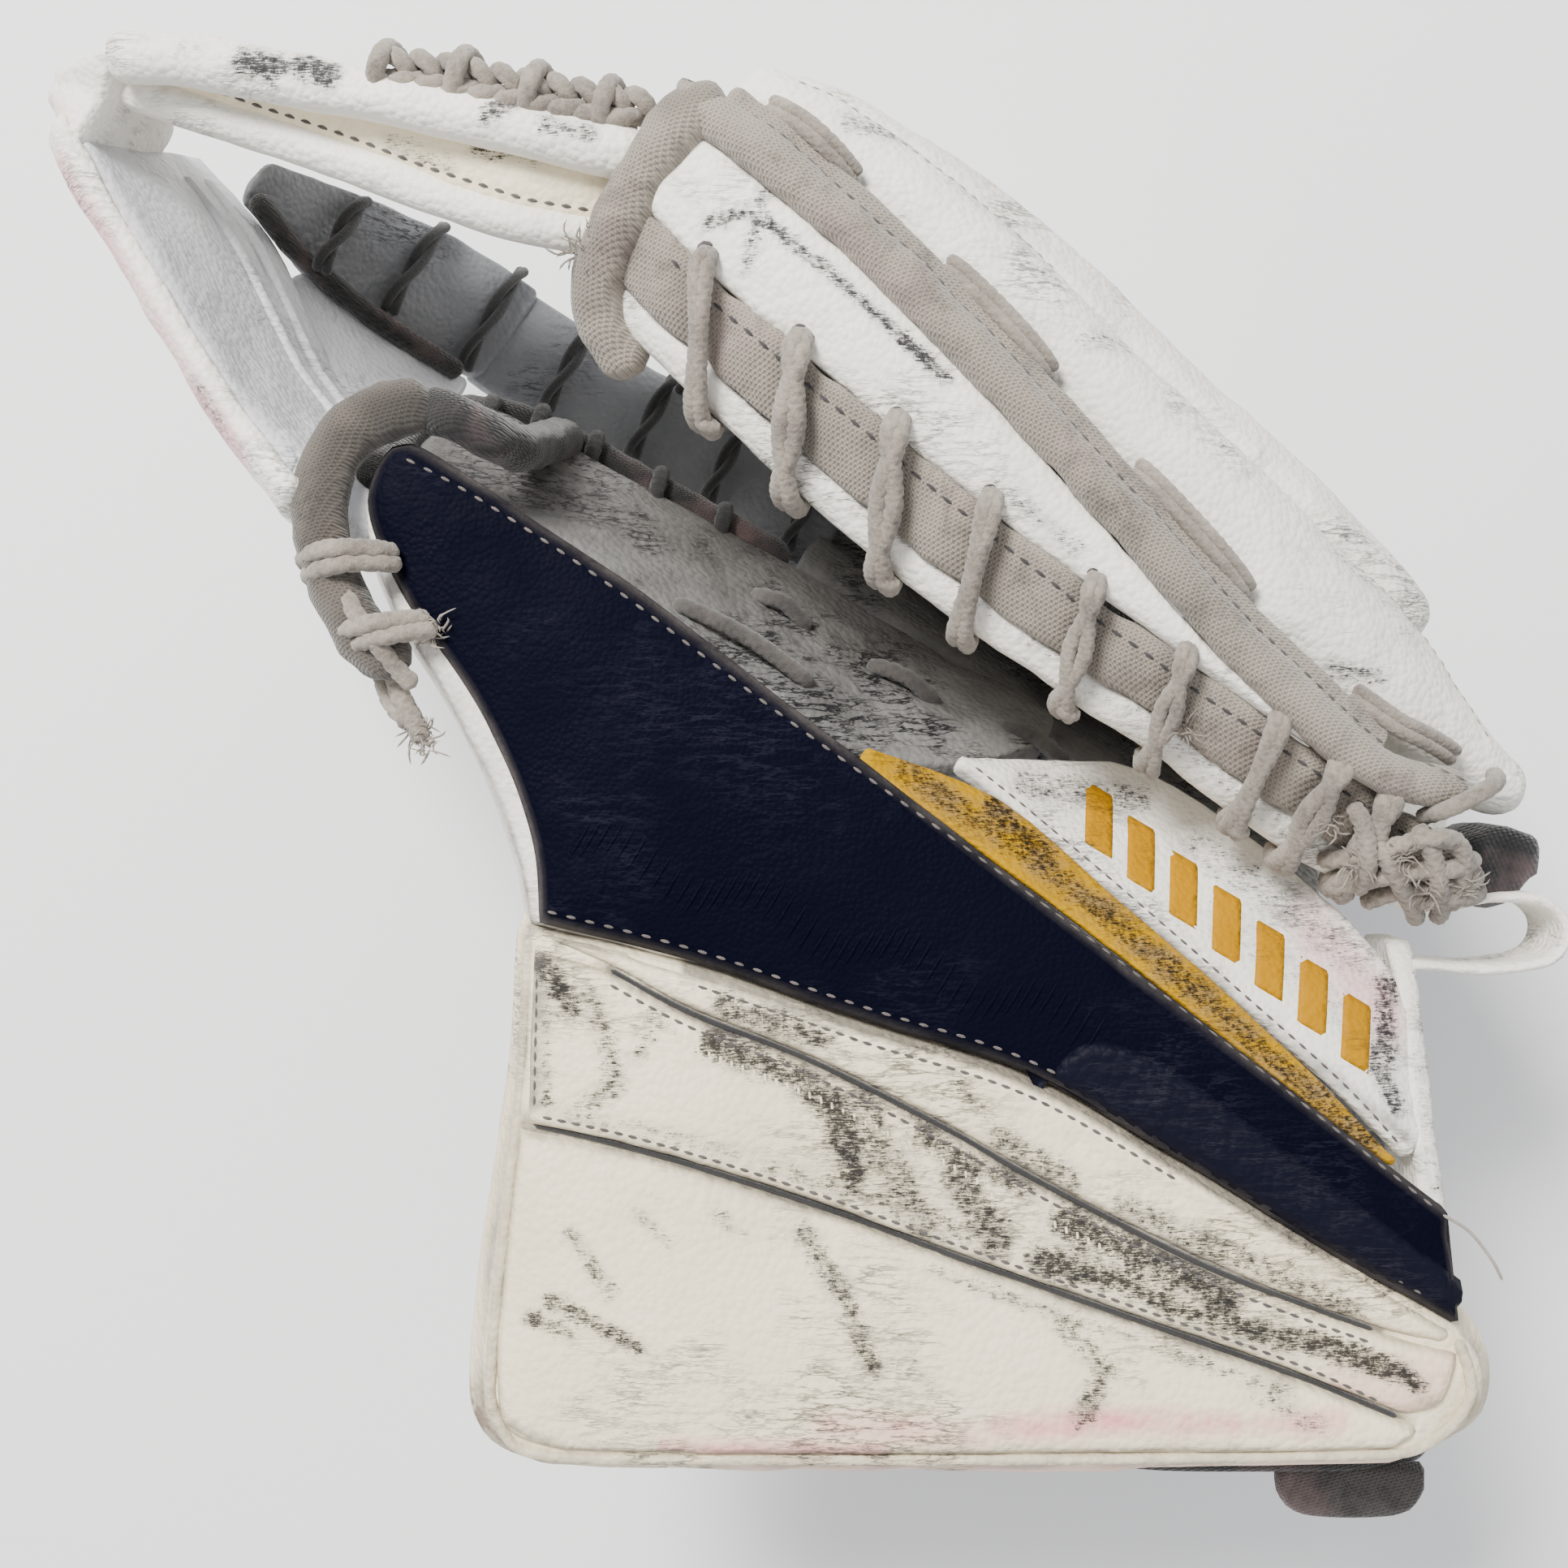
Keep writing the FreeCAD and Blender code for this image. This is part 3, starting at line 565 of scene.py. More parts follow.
def dress(obj, material):
    """Gives a piece its only material and its slot."""
    obj.data.materials.clear()
    obj.data.materials.append(material)


def finish_piece(obj, body, material, stands_for=()):
    """Dresses a piece that rides on one body, and hides the CAD nodes that it stands for."""
    dress(obj, material)
    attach(obj, body)
    if stands_for:
        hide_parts(*stands_for)


def finish_bend(obj, first, second, slot, material, start, end):
    """Dresses a piece that lies between two bodies, and bakes its transform into its points. Its bodies (first,
    second) and its mouth-frame points (start, end) are not used.
    """
    dress(obj, material)
    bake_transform(obj)


# ---------------------------------------------------------------- materials


class Nodes:
    """Short names for building one procedural material."""

    def __init__(self, name, roughness=0.5):
        self.material = bpy.data.materials.new(name)
        self.material.use_nodes = True
        self.tree = self.material.node_tree
        self.shader = self.tree.nodes["Principled BSDF"]
        self.shader.inputs["Roughness"].default_value = roughness
        self.place = self.add("TexCoord").outputs["Object"]

    def add(self, kind, inputs=None, **settings):
        node = self.tree.nodes.new("ShaderNode" + kind)
        for key, value in settings.items():
            setattr(node, key, value)
        for key, value in (inputs or {}).items():
            self.put(node.inputs[key], value)
        return node

    def put(self, socket, value):
        if isinstance(value, bpy.types.NodeSocket):
            self.tree.links.new(value, socket)
        else:
            socket.default_value = value

    def noise(self, scale, detail=3.0, rough=0.6, stretch=None, turn=0.0, warp=0.0):
        place = self.place
        if stretch:
            place = self.add("Mapping",
                             {"Vector": place, "Scale": stretch, "Rotation": (0, 0, turn)}).outputs[0]
        node = self.add(
            "TexNoise", {"Vector": place, "Scale": scale, "Detail": detail, "Roughness": rough,
                         "Distortion": warp}
        )
        return node.outputs["Fac"]

    def cells(self, scale):
        return self.add("TexVoronoi", {"Vector": self.place, "Scale": scale}).outputs["Distance"]

    def mark(self, name):
        return self.add("Attribute", attribute_name=name).outputs["Fac"]

    def calc(self, operation, a, b=0.0, clamp=False):
        return self.add("Math", {0: a, 1: b}, operation=operation, use_clamp=clamp).outputs[0]

    def step(self, value, low, high, to_low=0.0, to_high=1.0):
        inputs = {"Value": value, "From Min": low, "From Max": high, "To Min": to_low, "To Max": to_high}
        return self.add("MapRange", inputs).outputs[0]

    def mix(self, share, a, b):
        node = self.add("Mix", data_type="RGBA")
        self.put(node.inputs[0], share)
        self.put(node.inputs[6], a if isinstance(a, bpy.types.NodeSocket) else (*a, 1))
        self.put(node.inputs[7], b if isinstance(b, bpy.types.NodeSocket) else (*b, 1))
        return node.outputs[2]

    def done(self, color, height, strength, distance, roughness=None):
        self.put(self.shader.inputs["Base Color"], color)
        bump = self.add("Bump", {"Height": height, "Strength": strength, "Distance": distance})
        self.put(self.shader.inputs["Normal"], bump.outputs[0])
        if roughness is not None:
            self.put(self.shader.inputs["Roughness"], roughness)
        return self.material


def leather(name, base, shade, scuff_color, wear=0.5, cell=620.0, rough=0.42, grain=0.5, gloss=0.25):
    """Grained leather with smudges, dry black scuffs where it is painted, stains and worn spots."""
    n = Nodes(name)
    pebbles = n.cells(cell)
    folds = n.noise(150, 4, 0.6, warp=0.6)
    relief = n.calc("ADD", n.calc("MULTIPLY", pebbles, -0.9), n.calc("MULTIPLY", folds, 0.9))
    tone = n.step(n.noise(22, 5, 0.62), 0.36, 0.7)
    color = n.mix(n.calc("MULTIPLY", tone, 0.55), base, shade)
    dust = n.step(n.noise(11, 6, 0.7, warp=0.4), 0.5, 0.72, 0.0, 0.32 * wear)
    color = n.mix(dust, color, tuple(0.5 * c for c in shade))
    stain = n.calc("MULTIPLY", n.mark("pink"), n.step(n.noise(70, 5, 0.7), 0.3, 0.62, 0.25, 1.0))
    color = n.mix(n.calc("MULTIPLY", stain, 0.75, True), color, (0.83, 0.22, 0.3))
    dry = n.calc("ADD", n.calc("MULTIPLY", n.noise(1700, 4, 0.9), 0.5), n.calc("MULTIPLY", pebbles, -0.16))
    streaks = n.noise(420, 6, 0.8, (1.0, 9.0, 1.0), 0.75)
    dry = n.calc("ADD", dry, n.calc("MULTIPLY", streaks, 0.95))
    stray = n.step(n.noise(34, 3, 0.6, (1.0, 2.4, 1.0), -0.6), 0.6, 0.78, 0.0, 0.24 * wear)
    wanted = n.calc("MAXIMUM", n.mark("scuff"), stray)
    black = n.step(n.calc("ADD", dry, n.calc("MULTIPLY", wanted, 0.36)), 0.86, 0.99)
    black = n.calc("MULTIPLY", black, n.step(wanted, 0.02, 0.25), True)
    smudge = n.calc("MULTIPLY", n.step(wanted, 0.1, 0.9),
                    n.step(n.noise(70, 5, 0.7, (1.0, 4.0, 1.0), 0.75), 0.38, 0.62), True)
    color = n.mix(n.calc("MULTIPLY", smudge, 0.5), color, (0.2, 0.19, 0.185))
    color = n.mix(n.calc("MULTIPLY", black, 0.97), color, scuff_color)
    for scale, lean, share in ((46, 0.75, 0.75), (70, -0.5, 0.6)):
        away = n.calc("ABSOLUTE", n.calc("SUBTRACT", n.noise(scale, 4, 0.65, (1.0, 6.0, 1.0), lean), 0.5))
        where = n.step(n.noise(24, 3, 0.6, warp=0.3), 0.5, 0.62, 0.0, share * wear)
        hair = n.calc("MULTIPLY", n.step(away, 0.005, 0.026, 1.0, 0.0), where)
        color = n.mix(hair, color, tuple(2.0 * c for c in scuff_color))
        relief = n.calc("SUBTRACT", relief, n.calc("MULTIPLY", hair, 0.5))
    # The marks darken the colour here: partly real dirt, partly painted shade along seams, panel rims and deep in the
    # pocket.
    grime_and_shade = n.calc("MULTIPLY", n.mark("dirt_and_shade"), n.step(n.noise(120, 5, 0.75), 0.3, 0.6, 0.35, 1.0), True)
    color = n.mix(n.calc("MULTIPLY", grime_and_shade, 0.8), color, (0.1, 0.09, 0.085))
    worn = n.calc("MULTIPLY", n.mark("worn"), n.step(n.noise(210, 4, 0.7), 0.42, 0.55), True)
    color = n.mix(worn, color, (0.2, 0.13, 0.09))
    n.shader.inputs["Specular IOR Level"].default_value = gloss
    roughness = n.calc("ADD", n.step(n.noise(60, 3), 0.3, 0.7, rough - 0.07, rough + 0.1),
                       n.calc("MULTIPLY", black, 0.2))
    return n.done(color, relief, grain, 0.0006, roughness)


def weave(name, base, dark, pitch=0.0009, grime_and_shade=0.62, rough=0.9, strength=0.65):
    """Coarse woven tape or cloth: two crossing sets of yarns, with faded places, dirty places, and painted shade
    where the marks ask for it.
    """
    n = Nodes(name, rough)
    yarns = []
    for turn in (0.0, math.pi / 2):
        turned_place = n.add("Mapping", {"Vector": n.place, "Rotation": (0.35, 0.5, 0.54 + turn)}).outputs[0]
        wave = n.add("TexWave",
                     {"Vector": turned_place, "Scale": 0.314 / pitch, "Distortion": 1.2, "Detail": 2.0})
        yarns.append(wave.outputs["Fac"])
    over = n.calc("MAXIMUM", yarns[0], yarns[1])
    crossing = n.calc("MULTIPLY", yarns[0], yarns[1])
    relief = n.calc("SUBTRACT", over, n.calc("MULTIPLY", crossing, 0.5))
    color = n.mix(n.calc("ADD", n.calc("MULTIPLY", relief, 0.75), 0.12), dark, base)
    faded = n.step(n.noise(26, 5, 0.7), 0.35, 0.7)
    color = n.mix(n.calc("MULTIPLY", faded, 0.35), color, tuple(min(1.0, 1.35 * c) for c in base))
    dirty_and_shaded = n.step(n.noise(60, 7, 0.8, warp=0.6), 0.5, 0.62, 0.0, grime_and_shade)
    # The marks add their darkening too: partly real dirt, partly painted shade along panel rims.
    dirty_and_shaded = n.calc("MAXIMUM", dirty_and_shaded, n.mark("dirt_and_shade"), True)
    color = n.mix(n.calc("MULTIPLY", dirty_and_shaded, 0.7), color, tuple(0.3 * c for c in dark))
    stain = n.calc("MULTIPLY", n.step(n.noise(30, 4), 0.55, 0.7), 0.22)
    color = n.mix(stain, color, (0.52, 0.33, 0.32))
    n.shader.inputs["Sheen Weight"].default_value = 0.25
    return n.done(color, relief, strength, 0.0005)


def cord_material(name, base, dark, rough=0.9):
    """Braided lace: fibres, painted shade in the braid's grooves and faded high places."""
    n = Nodes(name, rough)
    fibres = n.noise(1500, 4, 0.75)
    blotches = n.noise(90, 5, 0.7)
    color = n.mix(n.step(blotches, 0.35, 0.65), dark, base)
    color = n.mix(n.step(fibres, 0.35, 0.7, 0.0, 0.45), color, tuple(min(1.0, 1.45 * c) for c in base))
    # Painted shade in the braid's grooves.
    color = n.mix(n.calc("MULTIPLY", n.mark("dirt_and_shade"), 0.6, True), color, tuple(0.6 * c for c in dark))
    n.shader.inputs["Sheen Weight"].default_value = 0.3
    return n.done(color, fibres, 0.9, 0.0005)


def plastic(name, base, rough=0.4):
    """Moulded plastic with a fine stipple."""
    n = Nodes(name, rough)
    stipple = n.noise(900, 3, 0.6)
    color = n.mix(n.step(n.noise(30, 4), 0.3, 0.7), base, tuple(0.75 * c for c in base))
    return n.done(color, stipple, 0.25, 0.0003)


WHITE = leather("white_leather_look", (0.93, 0.9, 0.82), (0.8, 0.76, 0.68), (0.01, 0.01, 0.012), 0.85, 620,
                0.48, 0.7, 0.2)
CREAM = leather("cream_leather_look", (0.94, 0.83, 0.6), (0.82, 0.7, 0.48), (0.012, 0.011, 0.011), 0.9, 560,
                0.48, 0.7, 0.2)
NAVY = leather("navy_leather_look", (0.0008, 0.001, 0.006), (0.0016, 0.0017, 0.008), (0.012, 0.012, 0.02),
               0.3, 900, 0.6, 0.3, 0.04)
PEBBLE = leather("navy_pebble_look", (0.002, 0.0024, 0.009), (0.004, 0.004, 0.011), (0.02, 0.02, 0.026), 0.3,
                 420, 0.55, 0.8, 0.09)
GOLD = leather("gold_leather_look", (0.5, 0.27, 0.0), (0.36, 0.18, 0.0), (0.012, 0.01, 0.008), 0.6, 700, 0.5,
               0.5, 0.1)
ORANGE = leather("orange_leather_look", (0.46, 0.215, 0.0), (0.32, 0.14, 0.0), (0.02, 0.016, 0.01), 1.0, 700,
                 0.5, 0.5, 0.1)
PALM = leather("palm_leather_look", (0.22, 0.215, 0.205), (0.05, 0.049, 0.048), (0.01, 0.01, 0.011), 2.4, 560,
               0.5, 0.7)
# A dark grey copy of the white leather for the pocket's spine, which lies in shadow: painted shade.
SHADED_SPINE_WHITE = leather("shaded_spine_white_look", (0.22, 0.225, 0.235), (0.08, 0.083, 0.09), (0.02, 0.02, 0.022), 1.4,
                620, 0.42, 0.6)
TWILL = weave("twill_look", (0.36, 0.315, 0.255), (0.11, 0.092, 0.076))
DARK_TWILL = weave("dark_twill_look", (0.028, 0.026, 0.025), (0.006, 0.006, 0.006), 0.0008, 0.6)
TIP_TAPE = weave("tip_tape_look", (0.14, 0.118, 0.096), (0.03, 0.026, 0.022), 0.0009, 0.9)
LINER = weave("liner_look", (0.3, 0.31, 0.33), (0.14, 0.145, 0.16), 0.0009, 0.2)
MESH = weave("sleeve_look", (0.32, 0.33, 0.34), (0.12, 0.12, 0.13), 0.0016, 0.15)
WEBBING = weave("webbing_look", (0.014, 0.014, 0.015), (0.004, 0.004, 0.004), 0.0013, 0.3)
HOOKS = weave("hooks_look", (0.02, 0.02, 0.022), (0.005, 0.005, 0.005), 0.0007, 0.2, 0.95, 1.0)
LACE = cord_material("lace_look", (0.34, 0.295, 0.24), (0.13, 0.108, 0.09))
DARK_LACE = cord_material("dark_lace_look", (0.022, 0.021, 0.021), (0.006, 0.006, 0.006), 0.8)
NAVY_THREAD = cord_material("navy_seam_thread_look", (0.14, 0.115, 0.1), (0.06, 0.05, 0.045))
LIGHT_THREAD = cord_material("light_thread_look", (0.4, 0.35, 0.3), (0.22, 0.19, 0.16))
GREY_THREAD = cord_material("grey_thread_look", (0.11, 0.095, 0.085), (0.04, 0.034, 0.032))
DARK_THREAD = cord_material("dark_thread_look", (0.05, 0.045, 0.045), (0.02, 0.018, 0.018))
GREY_LACE = cord_material("grey_lace_look", (0.09, 0.08, 0.072), (0.025, 0.022, 0.021), 0.85)
# A grey-blue copy of the white leather for the T band's inner face and other inner faces in shade: painted shade.
SHADED_INNER_WHITE = leather("shaded_inner_white_look", (0.66, 0.66, 0.68), (0.46, 0.47, 0.5), (0.04, 0.04, 0.045), 0.6,
                      600, 0.4, 0.55)
DIRTY_TAB = weave("tab_look", (0.085, 0.076, 0.07), (0.03, 0.027, 0.025), 0.0009, 0.9)
FOAM = plastic("foam_look", (0.5, 0.5, 0.52), 0.9)
SHELL = plastic("plastic_look", (0.62, 0.62, 0.62), 0.4)

# ---------------------------------------------------------------- thumb board and cuff

PAD_BOTTOM = 124.0
THUMB_LINE = [(-18, -37.5), (16, -49), (50, -60), (81, -77.5), (112, -96.5)]
UPPER_SEAM = [(-36, -38.5), (-19, -47.5), (6, -57.5), (32, -70.5), (56, -84), (89, -100.5)]
LOWER_SEAM = [(-27.5, -76.5), (6, -87), (39, -99), (72, -110.5), (106, -122.5)]
WAIST = (-53.0, -29.3)


def moved(points, up):
    """The same points, moved up in plan."""
    return [(x, y + up) for x, y in points]


PAD_RIM = outline(
    [(-56, -14), (-62, 2), (-71, 19), (-80, 34), (-86, 48), (-87.5, 60), (-84, 67)],
    [(-78, 68.5), (-64, 60)],
    [(-36, 41), (0, 14)],
    [(135.4, -91)],
    [(139.0, -112.5)],
    THUMB_LINE[::-1] + [WAIST],
)
CUFF_RIM = outline(
    moved(THUMB_LINE, -0.4) + [(140.5, -113)],
    [(146, -122), (143.5, -133), (128, -140.5)],
    [(60, -142.5), (0, -142.5), (-50, -141)],
    [(-61, -135.5), (-63, -122), (-59.5, -90), (-54.8, -60), (-53, -30)],
)


def thumb_half():
    """The padded thumb board in navy leather, with its white edge and its stitching."""
    pad = plate("thumb_side_wall", PAD_RIM, 145.0, PAD_BOTTOM, 3.0, 3.0, 2.0)
    rumple(pad, 0.5, (18, 18, 9), 2)
    paint(pad, "dirt_and_shade", [([(-84, 66), (-78, 40), (-60, -2), (-54, -28)], 3.0, 0.35)])
    finish_piece(pad, "thumb_side", WHITE, ["thumb_pad", "thumb_edge_piping"])
    inner = outline(
        [(-51.5, -14), (-56.5, 2), (-65, 19), (-75.5, 34), (-83, 48), (-86, 59), (-83, 67.5)],
        [(-78, 70.4), (-64, 62.3)],
        [(-36, 43.6), (0, 16.7)],
        [(137.4, -88.8)],
        [(139.8, -112)],
        moved(THUMB_LINE[::-1], 0.6) + [(-50.5, -28.6)],
    )

    def crown(p):
        away = plan_distance(p, inner, True)
        return 148.2 + 1.2 * (1 - np.exp(-away / 14))

    navy = plate("thumb_navy_panel", inner, crown, 144.6, 2.6, 2.0, 0.5)
    rumple(navy, 0.45, 26, 4)
    crease(navy, moved([(70, -48), (110, -84), (139, -104)], 9), 0.7, 2.2)
    mouth_edge = [(-78, 67), (-64, 59.4), (-36, 41), (0, 13.8), (68, -35.6), (134.4, -87.6)]
    low_edge = [(-49, -26.2)] + moved(THUMB_LINE, 3.2) + [(138, -109)]
    for name, line in (("mouth", mouth_edge), ("low", low_edge)):
        row = stitches(f"thumb_{name}_stitches", spline(line, 1.0), [navy], 4.0, 2.9, 0.32)
        finish_piece(row, "thumb_side", NAVY_THREAD)
    rows = []
    for i in range(46):
        x = -46 + i * 2.35
        y = -18 - 0.37 * (x + 46) + 3.0 * math.sin(0.5 * i)
        rows.append(stitches("rib", [(x, y), (x + 8, y + 13)], [navy], 60, 14.5, 0.55, -0.12))
    ribs = joined("thumb_navy_ribs", rows)
    finish_piece(ribs, "thumb_side", NAVY)
    step = outline(
        [(53, -65)], [(58, -56), (66, -53), (80, -58)], [(140.5, -103)], [(139.2, -111.5)],
        moved(THUMB_LINE[::-1], 1.0)[:3], step=2.0
    )
    overlay = drape("thumb_navy_overlay", step, [navy], 0.9)
    finish_piece(overlay, "thumb_side", PEBBLE)
    finish_piece(navy, "thumb_side", NAVY, ["thumb_panel"])


def cuff_half():
    """The cuff's padded board, its three white panels, their seams and their scuffs."""
    pad = plate("cuff_side_wall", CUFF_RIM, 145.8, PAD_BOTTOM, 3.4, 3.0, 4.2)
    rumple(pad, 0.7, (22, 22, 8), 3)
    paint(pad, "pink", [([(-10, -145), (40, -147), (75, -146)], 7, 0.55),
                        ([(85, -146), (125, -144)], 5, 0.5)])
    paint(pad, "worn", [([(-66, -131), (-62, -139), (-54, -145)], 5.0, 1.0),
                        ([(140, -138), (147, -128)], 3, 0.5)])
    paint(pad, "dirt_and_shade", [([(-66, -136), (-48, -147)], 7.0, 0.7), ([(136, -141), (148, -126)], 6.0, 0.55)])
    # Painted shade under the gaps between the cuff panels, on the pad below them.
    for seam in (moved(THUMB_LINE, -1), moved(UPPER_SEAM, 0) + [(122, -113)],
                 [(-53, -71)] + moved(LOWER_SEAM, 0) + [(127, -131)]):
        paint(pad, "dirt_and_shade", [(spline(seam), 3.0, 1.6)])
    # Painted shade along the panels' edges at the seams.
    painted_seam_shade = [(spline(moved(THUMB_LINE, -1.6)), 1.1, 1.3), (spline(moved(UPPER_SEAM, 0)), 1.5, 1.3),
                  (spline(moved(LOWER_SEAM, 0)), 1.5, 1.4)]
    finish_piece(pad, "thumb_side", CREAM, ["cuff_pad"])
    upper_rim = outline(
        moved(THUMB_LINE, -1.6) + [(138, -113.6)], [(138, -116)],
        [(122, -112.2)] + moved(UPPER_SEAM[::-1], 0.8) + [(-50.2, -31.4)]
    )
    middle_rim = outline(
        moved(UPPER_SEAM, -0.7) + [(122, -113.4), (139.5, -117.8)],
        [(136, -128), (128, -130.2)],
        moved(LOWER_SEAM[::-1], 0.8) + [(-53, -70.2)],
        [(-51.5, -34.5)],
    )
    lower_rim = outline(
        moved(LOWER_SEAM, -0.7) + [(127, -131.6)],
        [(132, -133.5), (126, -137.5)],
        [(100, -138.2), (60, -138.6), (0, -138.8), (-45, -138.2)],
        [(-57, -134), (-59.5, -122), (-57.8, -98), (-54.6, -71.6)],
    )
    panels = []
    for name, rim, top, lift in (
        ("upper", upper_rim, 147.6, 0.5),
        ("middle", middle_rim, 148.2, 1.4),
        ("lower", lower_rim, 147.8, 2.6),
    ):
        def crown(p, rim=rim, top=top, lift=lift):
            return top + lift * (1 - np.exp(-plan_distance(p, rim, True) / 16))

        piece = plate(f"cuff_{name}_skin", rim, crown, 144.4, 2.2, 2.0, 0.3)
        rumple(piece, 0.5, 24, 6 + len(panels), lambda p,
               rim=rim: np.clip(plan_distance(p, rim, True) / 8, 0.3, 1))
        rumple(piece, 0.14, (4.5, 7, 5), 16 + len(panels))
        panels.append(piece)
    upper, middle, lower = panels
    for line in ([(60, -74), (84, -87), (118, -104)], [(-30, -35), (-8, -43), (12, -52)]):
        crease(upper, spline(line), 1.6, 1.5)
    crease(middle, spline([(-48, -48), (0, -66), (40, -84), (90, -106)]), 0.6, 5.0)
    paint(upper, "scuff", [([(44, -73), (60, -82)], 4, 0.8), ([(-12, -46), (8, -53)], 4, 0.9),
                           ([(70, -87), (118, -109)], 3.5, 0.75), ([(36, -62), (42, -68)], 3, 0.7)])
    paint(middle, "scuff", [
        ([(-50, -37), (-44, -45)], 3.5, 1.0), ([(-49, -40), (-49, -66)], 1.6, 0.8),
        ([(-40, -42), (-34, -62), (-40, -66)], 3, 0.75), ([(-26, -48), (-30, -56)], 3, 0.7),
        ([(-14, -53), (2, -60), (10, -66), (14, -80)], 4.5, 1.0), ([(16, -66), (22, -78), (30, -92)], 5, 0.8),
        ([(28, -72), (50, -84)], 3.0, 0.9), ([(36, -80), (44, -94)], 5, 0.9),
        ([(58, -90), (74, -97), (92, -107)], 5, 1.0),
        ([(52, -98), (72, -103)], 4, 1.0), ([(80, -108), (100, -113), (126, -120)], 3.5, 0.9),
        ([(60, -88), (66, -104)], 4, 0.8), ([(108, -114), (130, -123)], 3, 1.0),
        ([(-44, -68), (-10, -76)], 3.0, 0.6),
        ([(-6, -78), (20, -86), (46, -96)], 2.6, 0.7), ([(70, -104), (104, -116)], 2.4, 1.0),
    ])
    paint(lower, "scuff", [
        ([(-48, -106), (-36, -112), (-30, -116)], 2.6, 0.9), ([(-52, -110), (-44, -113)], 2.2, 0.9),
        ([(-44, -92), (-36, -104)], 2.4, 0.75), ([(4, -93), (12, -104), (18, -120)], 3.2, 0.85),
        ([(-30, -88), (-24, -94)], 2, 0.6), ([(58, -112), (66, -120), (62, -130)], 3.5, 0.8),
        ([(96, -126), (110, -132)], 2.5, 0.6), ([(30, -100), (70, -114), (104, -125)], 2.0, 0.7),
        ([(22, -112), (30, -124)], 2.5, 0.5), ([(-14, -88), (-8, -93)], 2.2, 0.6),
    ])
    paint(lower, "pink", [([(44, -133), (68, -131), (92, -132)], 3.0, 1.0),
                          ([(98, -132), (114, -131)], 2.4, 0.95),
                          ([(-24, -137), (20, -138)], 2.4, 0.8), ([(10, -132), (40, -135)], 3.5, 0.55)])
    paint(middle, "pink", [([(116, -127), (137, -123)], 7, 0.5)])
    # Dark lines along the panels' edges and the lower seam: painted shade.
    paint(middle, "dirt_and_shade", [([(-51, -36), (-52, -66)], 1.6, 0.9),
                           ([(110, -125), (126, -130), (136, -127)], 1.4, 0.7)])
    paint(lower, "dirt_and_shade", [([(-57, -132), (-46, -138), (0, -138.7), (100, -138)], 1.3, 0.9),
                          ([(-54, -72), (-27, -77.6), (6, -88)], 1.2, 0.7)])
    names = ("cuff_upper_panel", "cuff_middle_panel", "cuff_lower_panel")
    for piece, node in zip(panels, names):
        paint(piece, "dirt_and_shade", painted_seam_shade)
        finish_piece(piece, "thumb_side", CREAM, [node])
    # Thin dark tubes laid in the seams' gaps stand for the shadow there: painted shade, not real cords.
    gap_shadows = []
    for seam in (moved(UPPER_SEAM, 0) + [(122, -113)], [(-52, -70.6)] + moved(LOWER_SEAM, 0) + [(127, -131)]):
        path = drop(resample(spline(seam), 2.0), [pad, upper, middle, lower], 0.35)
        gap_shadows.append(tube("gap_shadow", path, 0.6, board, 6, 0.9))
    finish_piece(joined("cuff_seam_gap_shadows", gap_shadows), "thumb_side", DARK_LACE)
    seams = {
        "cuff_waist": (moved(THUMB_LINE, -4.2)[:4], [upper, middle], GREY_THREAD),
        "cuff_upper": (moved(UPPER_SEAM, -2.8) + [(122, -115.5)], [middle, upper], GREY_THREAD),
        "cuff_lower": ([(-50, -68.6)] + moved(LOWER_SEAM, 2.8) + [(124, -128)], [middle, lower], GREY_THREAD),
        "cuff_edge": ([(-51, -40), (-51.5, -67)], [middle], GREY_THREAD),
    }
    for name, (line, surfaces, thread) in seams.items():
        row = stitches(f"{name}_stitches", spline(line, 1.0), surfaces, 3.4, 2.5, 0.36)
        finish_piece(row, "thumb_side", thread)
    rows = []
    for i in range(44):
        x = -34 + i * 2.3
        y = np.interp(x, [p[0] for p in UPPER_SEAM], [p[1] for p in UPPER_SEAM]) - 5
        rows.append(stitches("rib", [(x, y), (x + 0.5, y - 4.5)], [middle], 40, 4.4, 0.42, -0.2))
    finish_piece(joined("cuff_embossed_ribs", rows), "thumb_side", CREAM)
    edge = [(-53, -32), (-55.5, -70), (-60.5, -118), (-59.5, -131), (-50, -139.2), (0, -140.2), (60, -140),
            (124, -139),
            (136, -135), (142.5, -126), (139.5, -115)]
    path = drop(resample(spline(edge, 1.0), 1.5), [pad, lower, middle], 0.2)
    welt = tube("cuff_edge_welt", path[::4], 1.25, board, 8)
    paint(welt, "dirt_and_shade", [(edge, 6.0, 0.55)])
    finish_piece(welt, "thumb_side", CREAM)


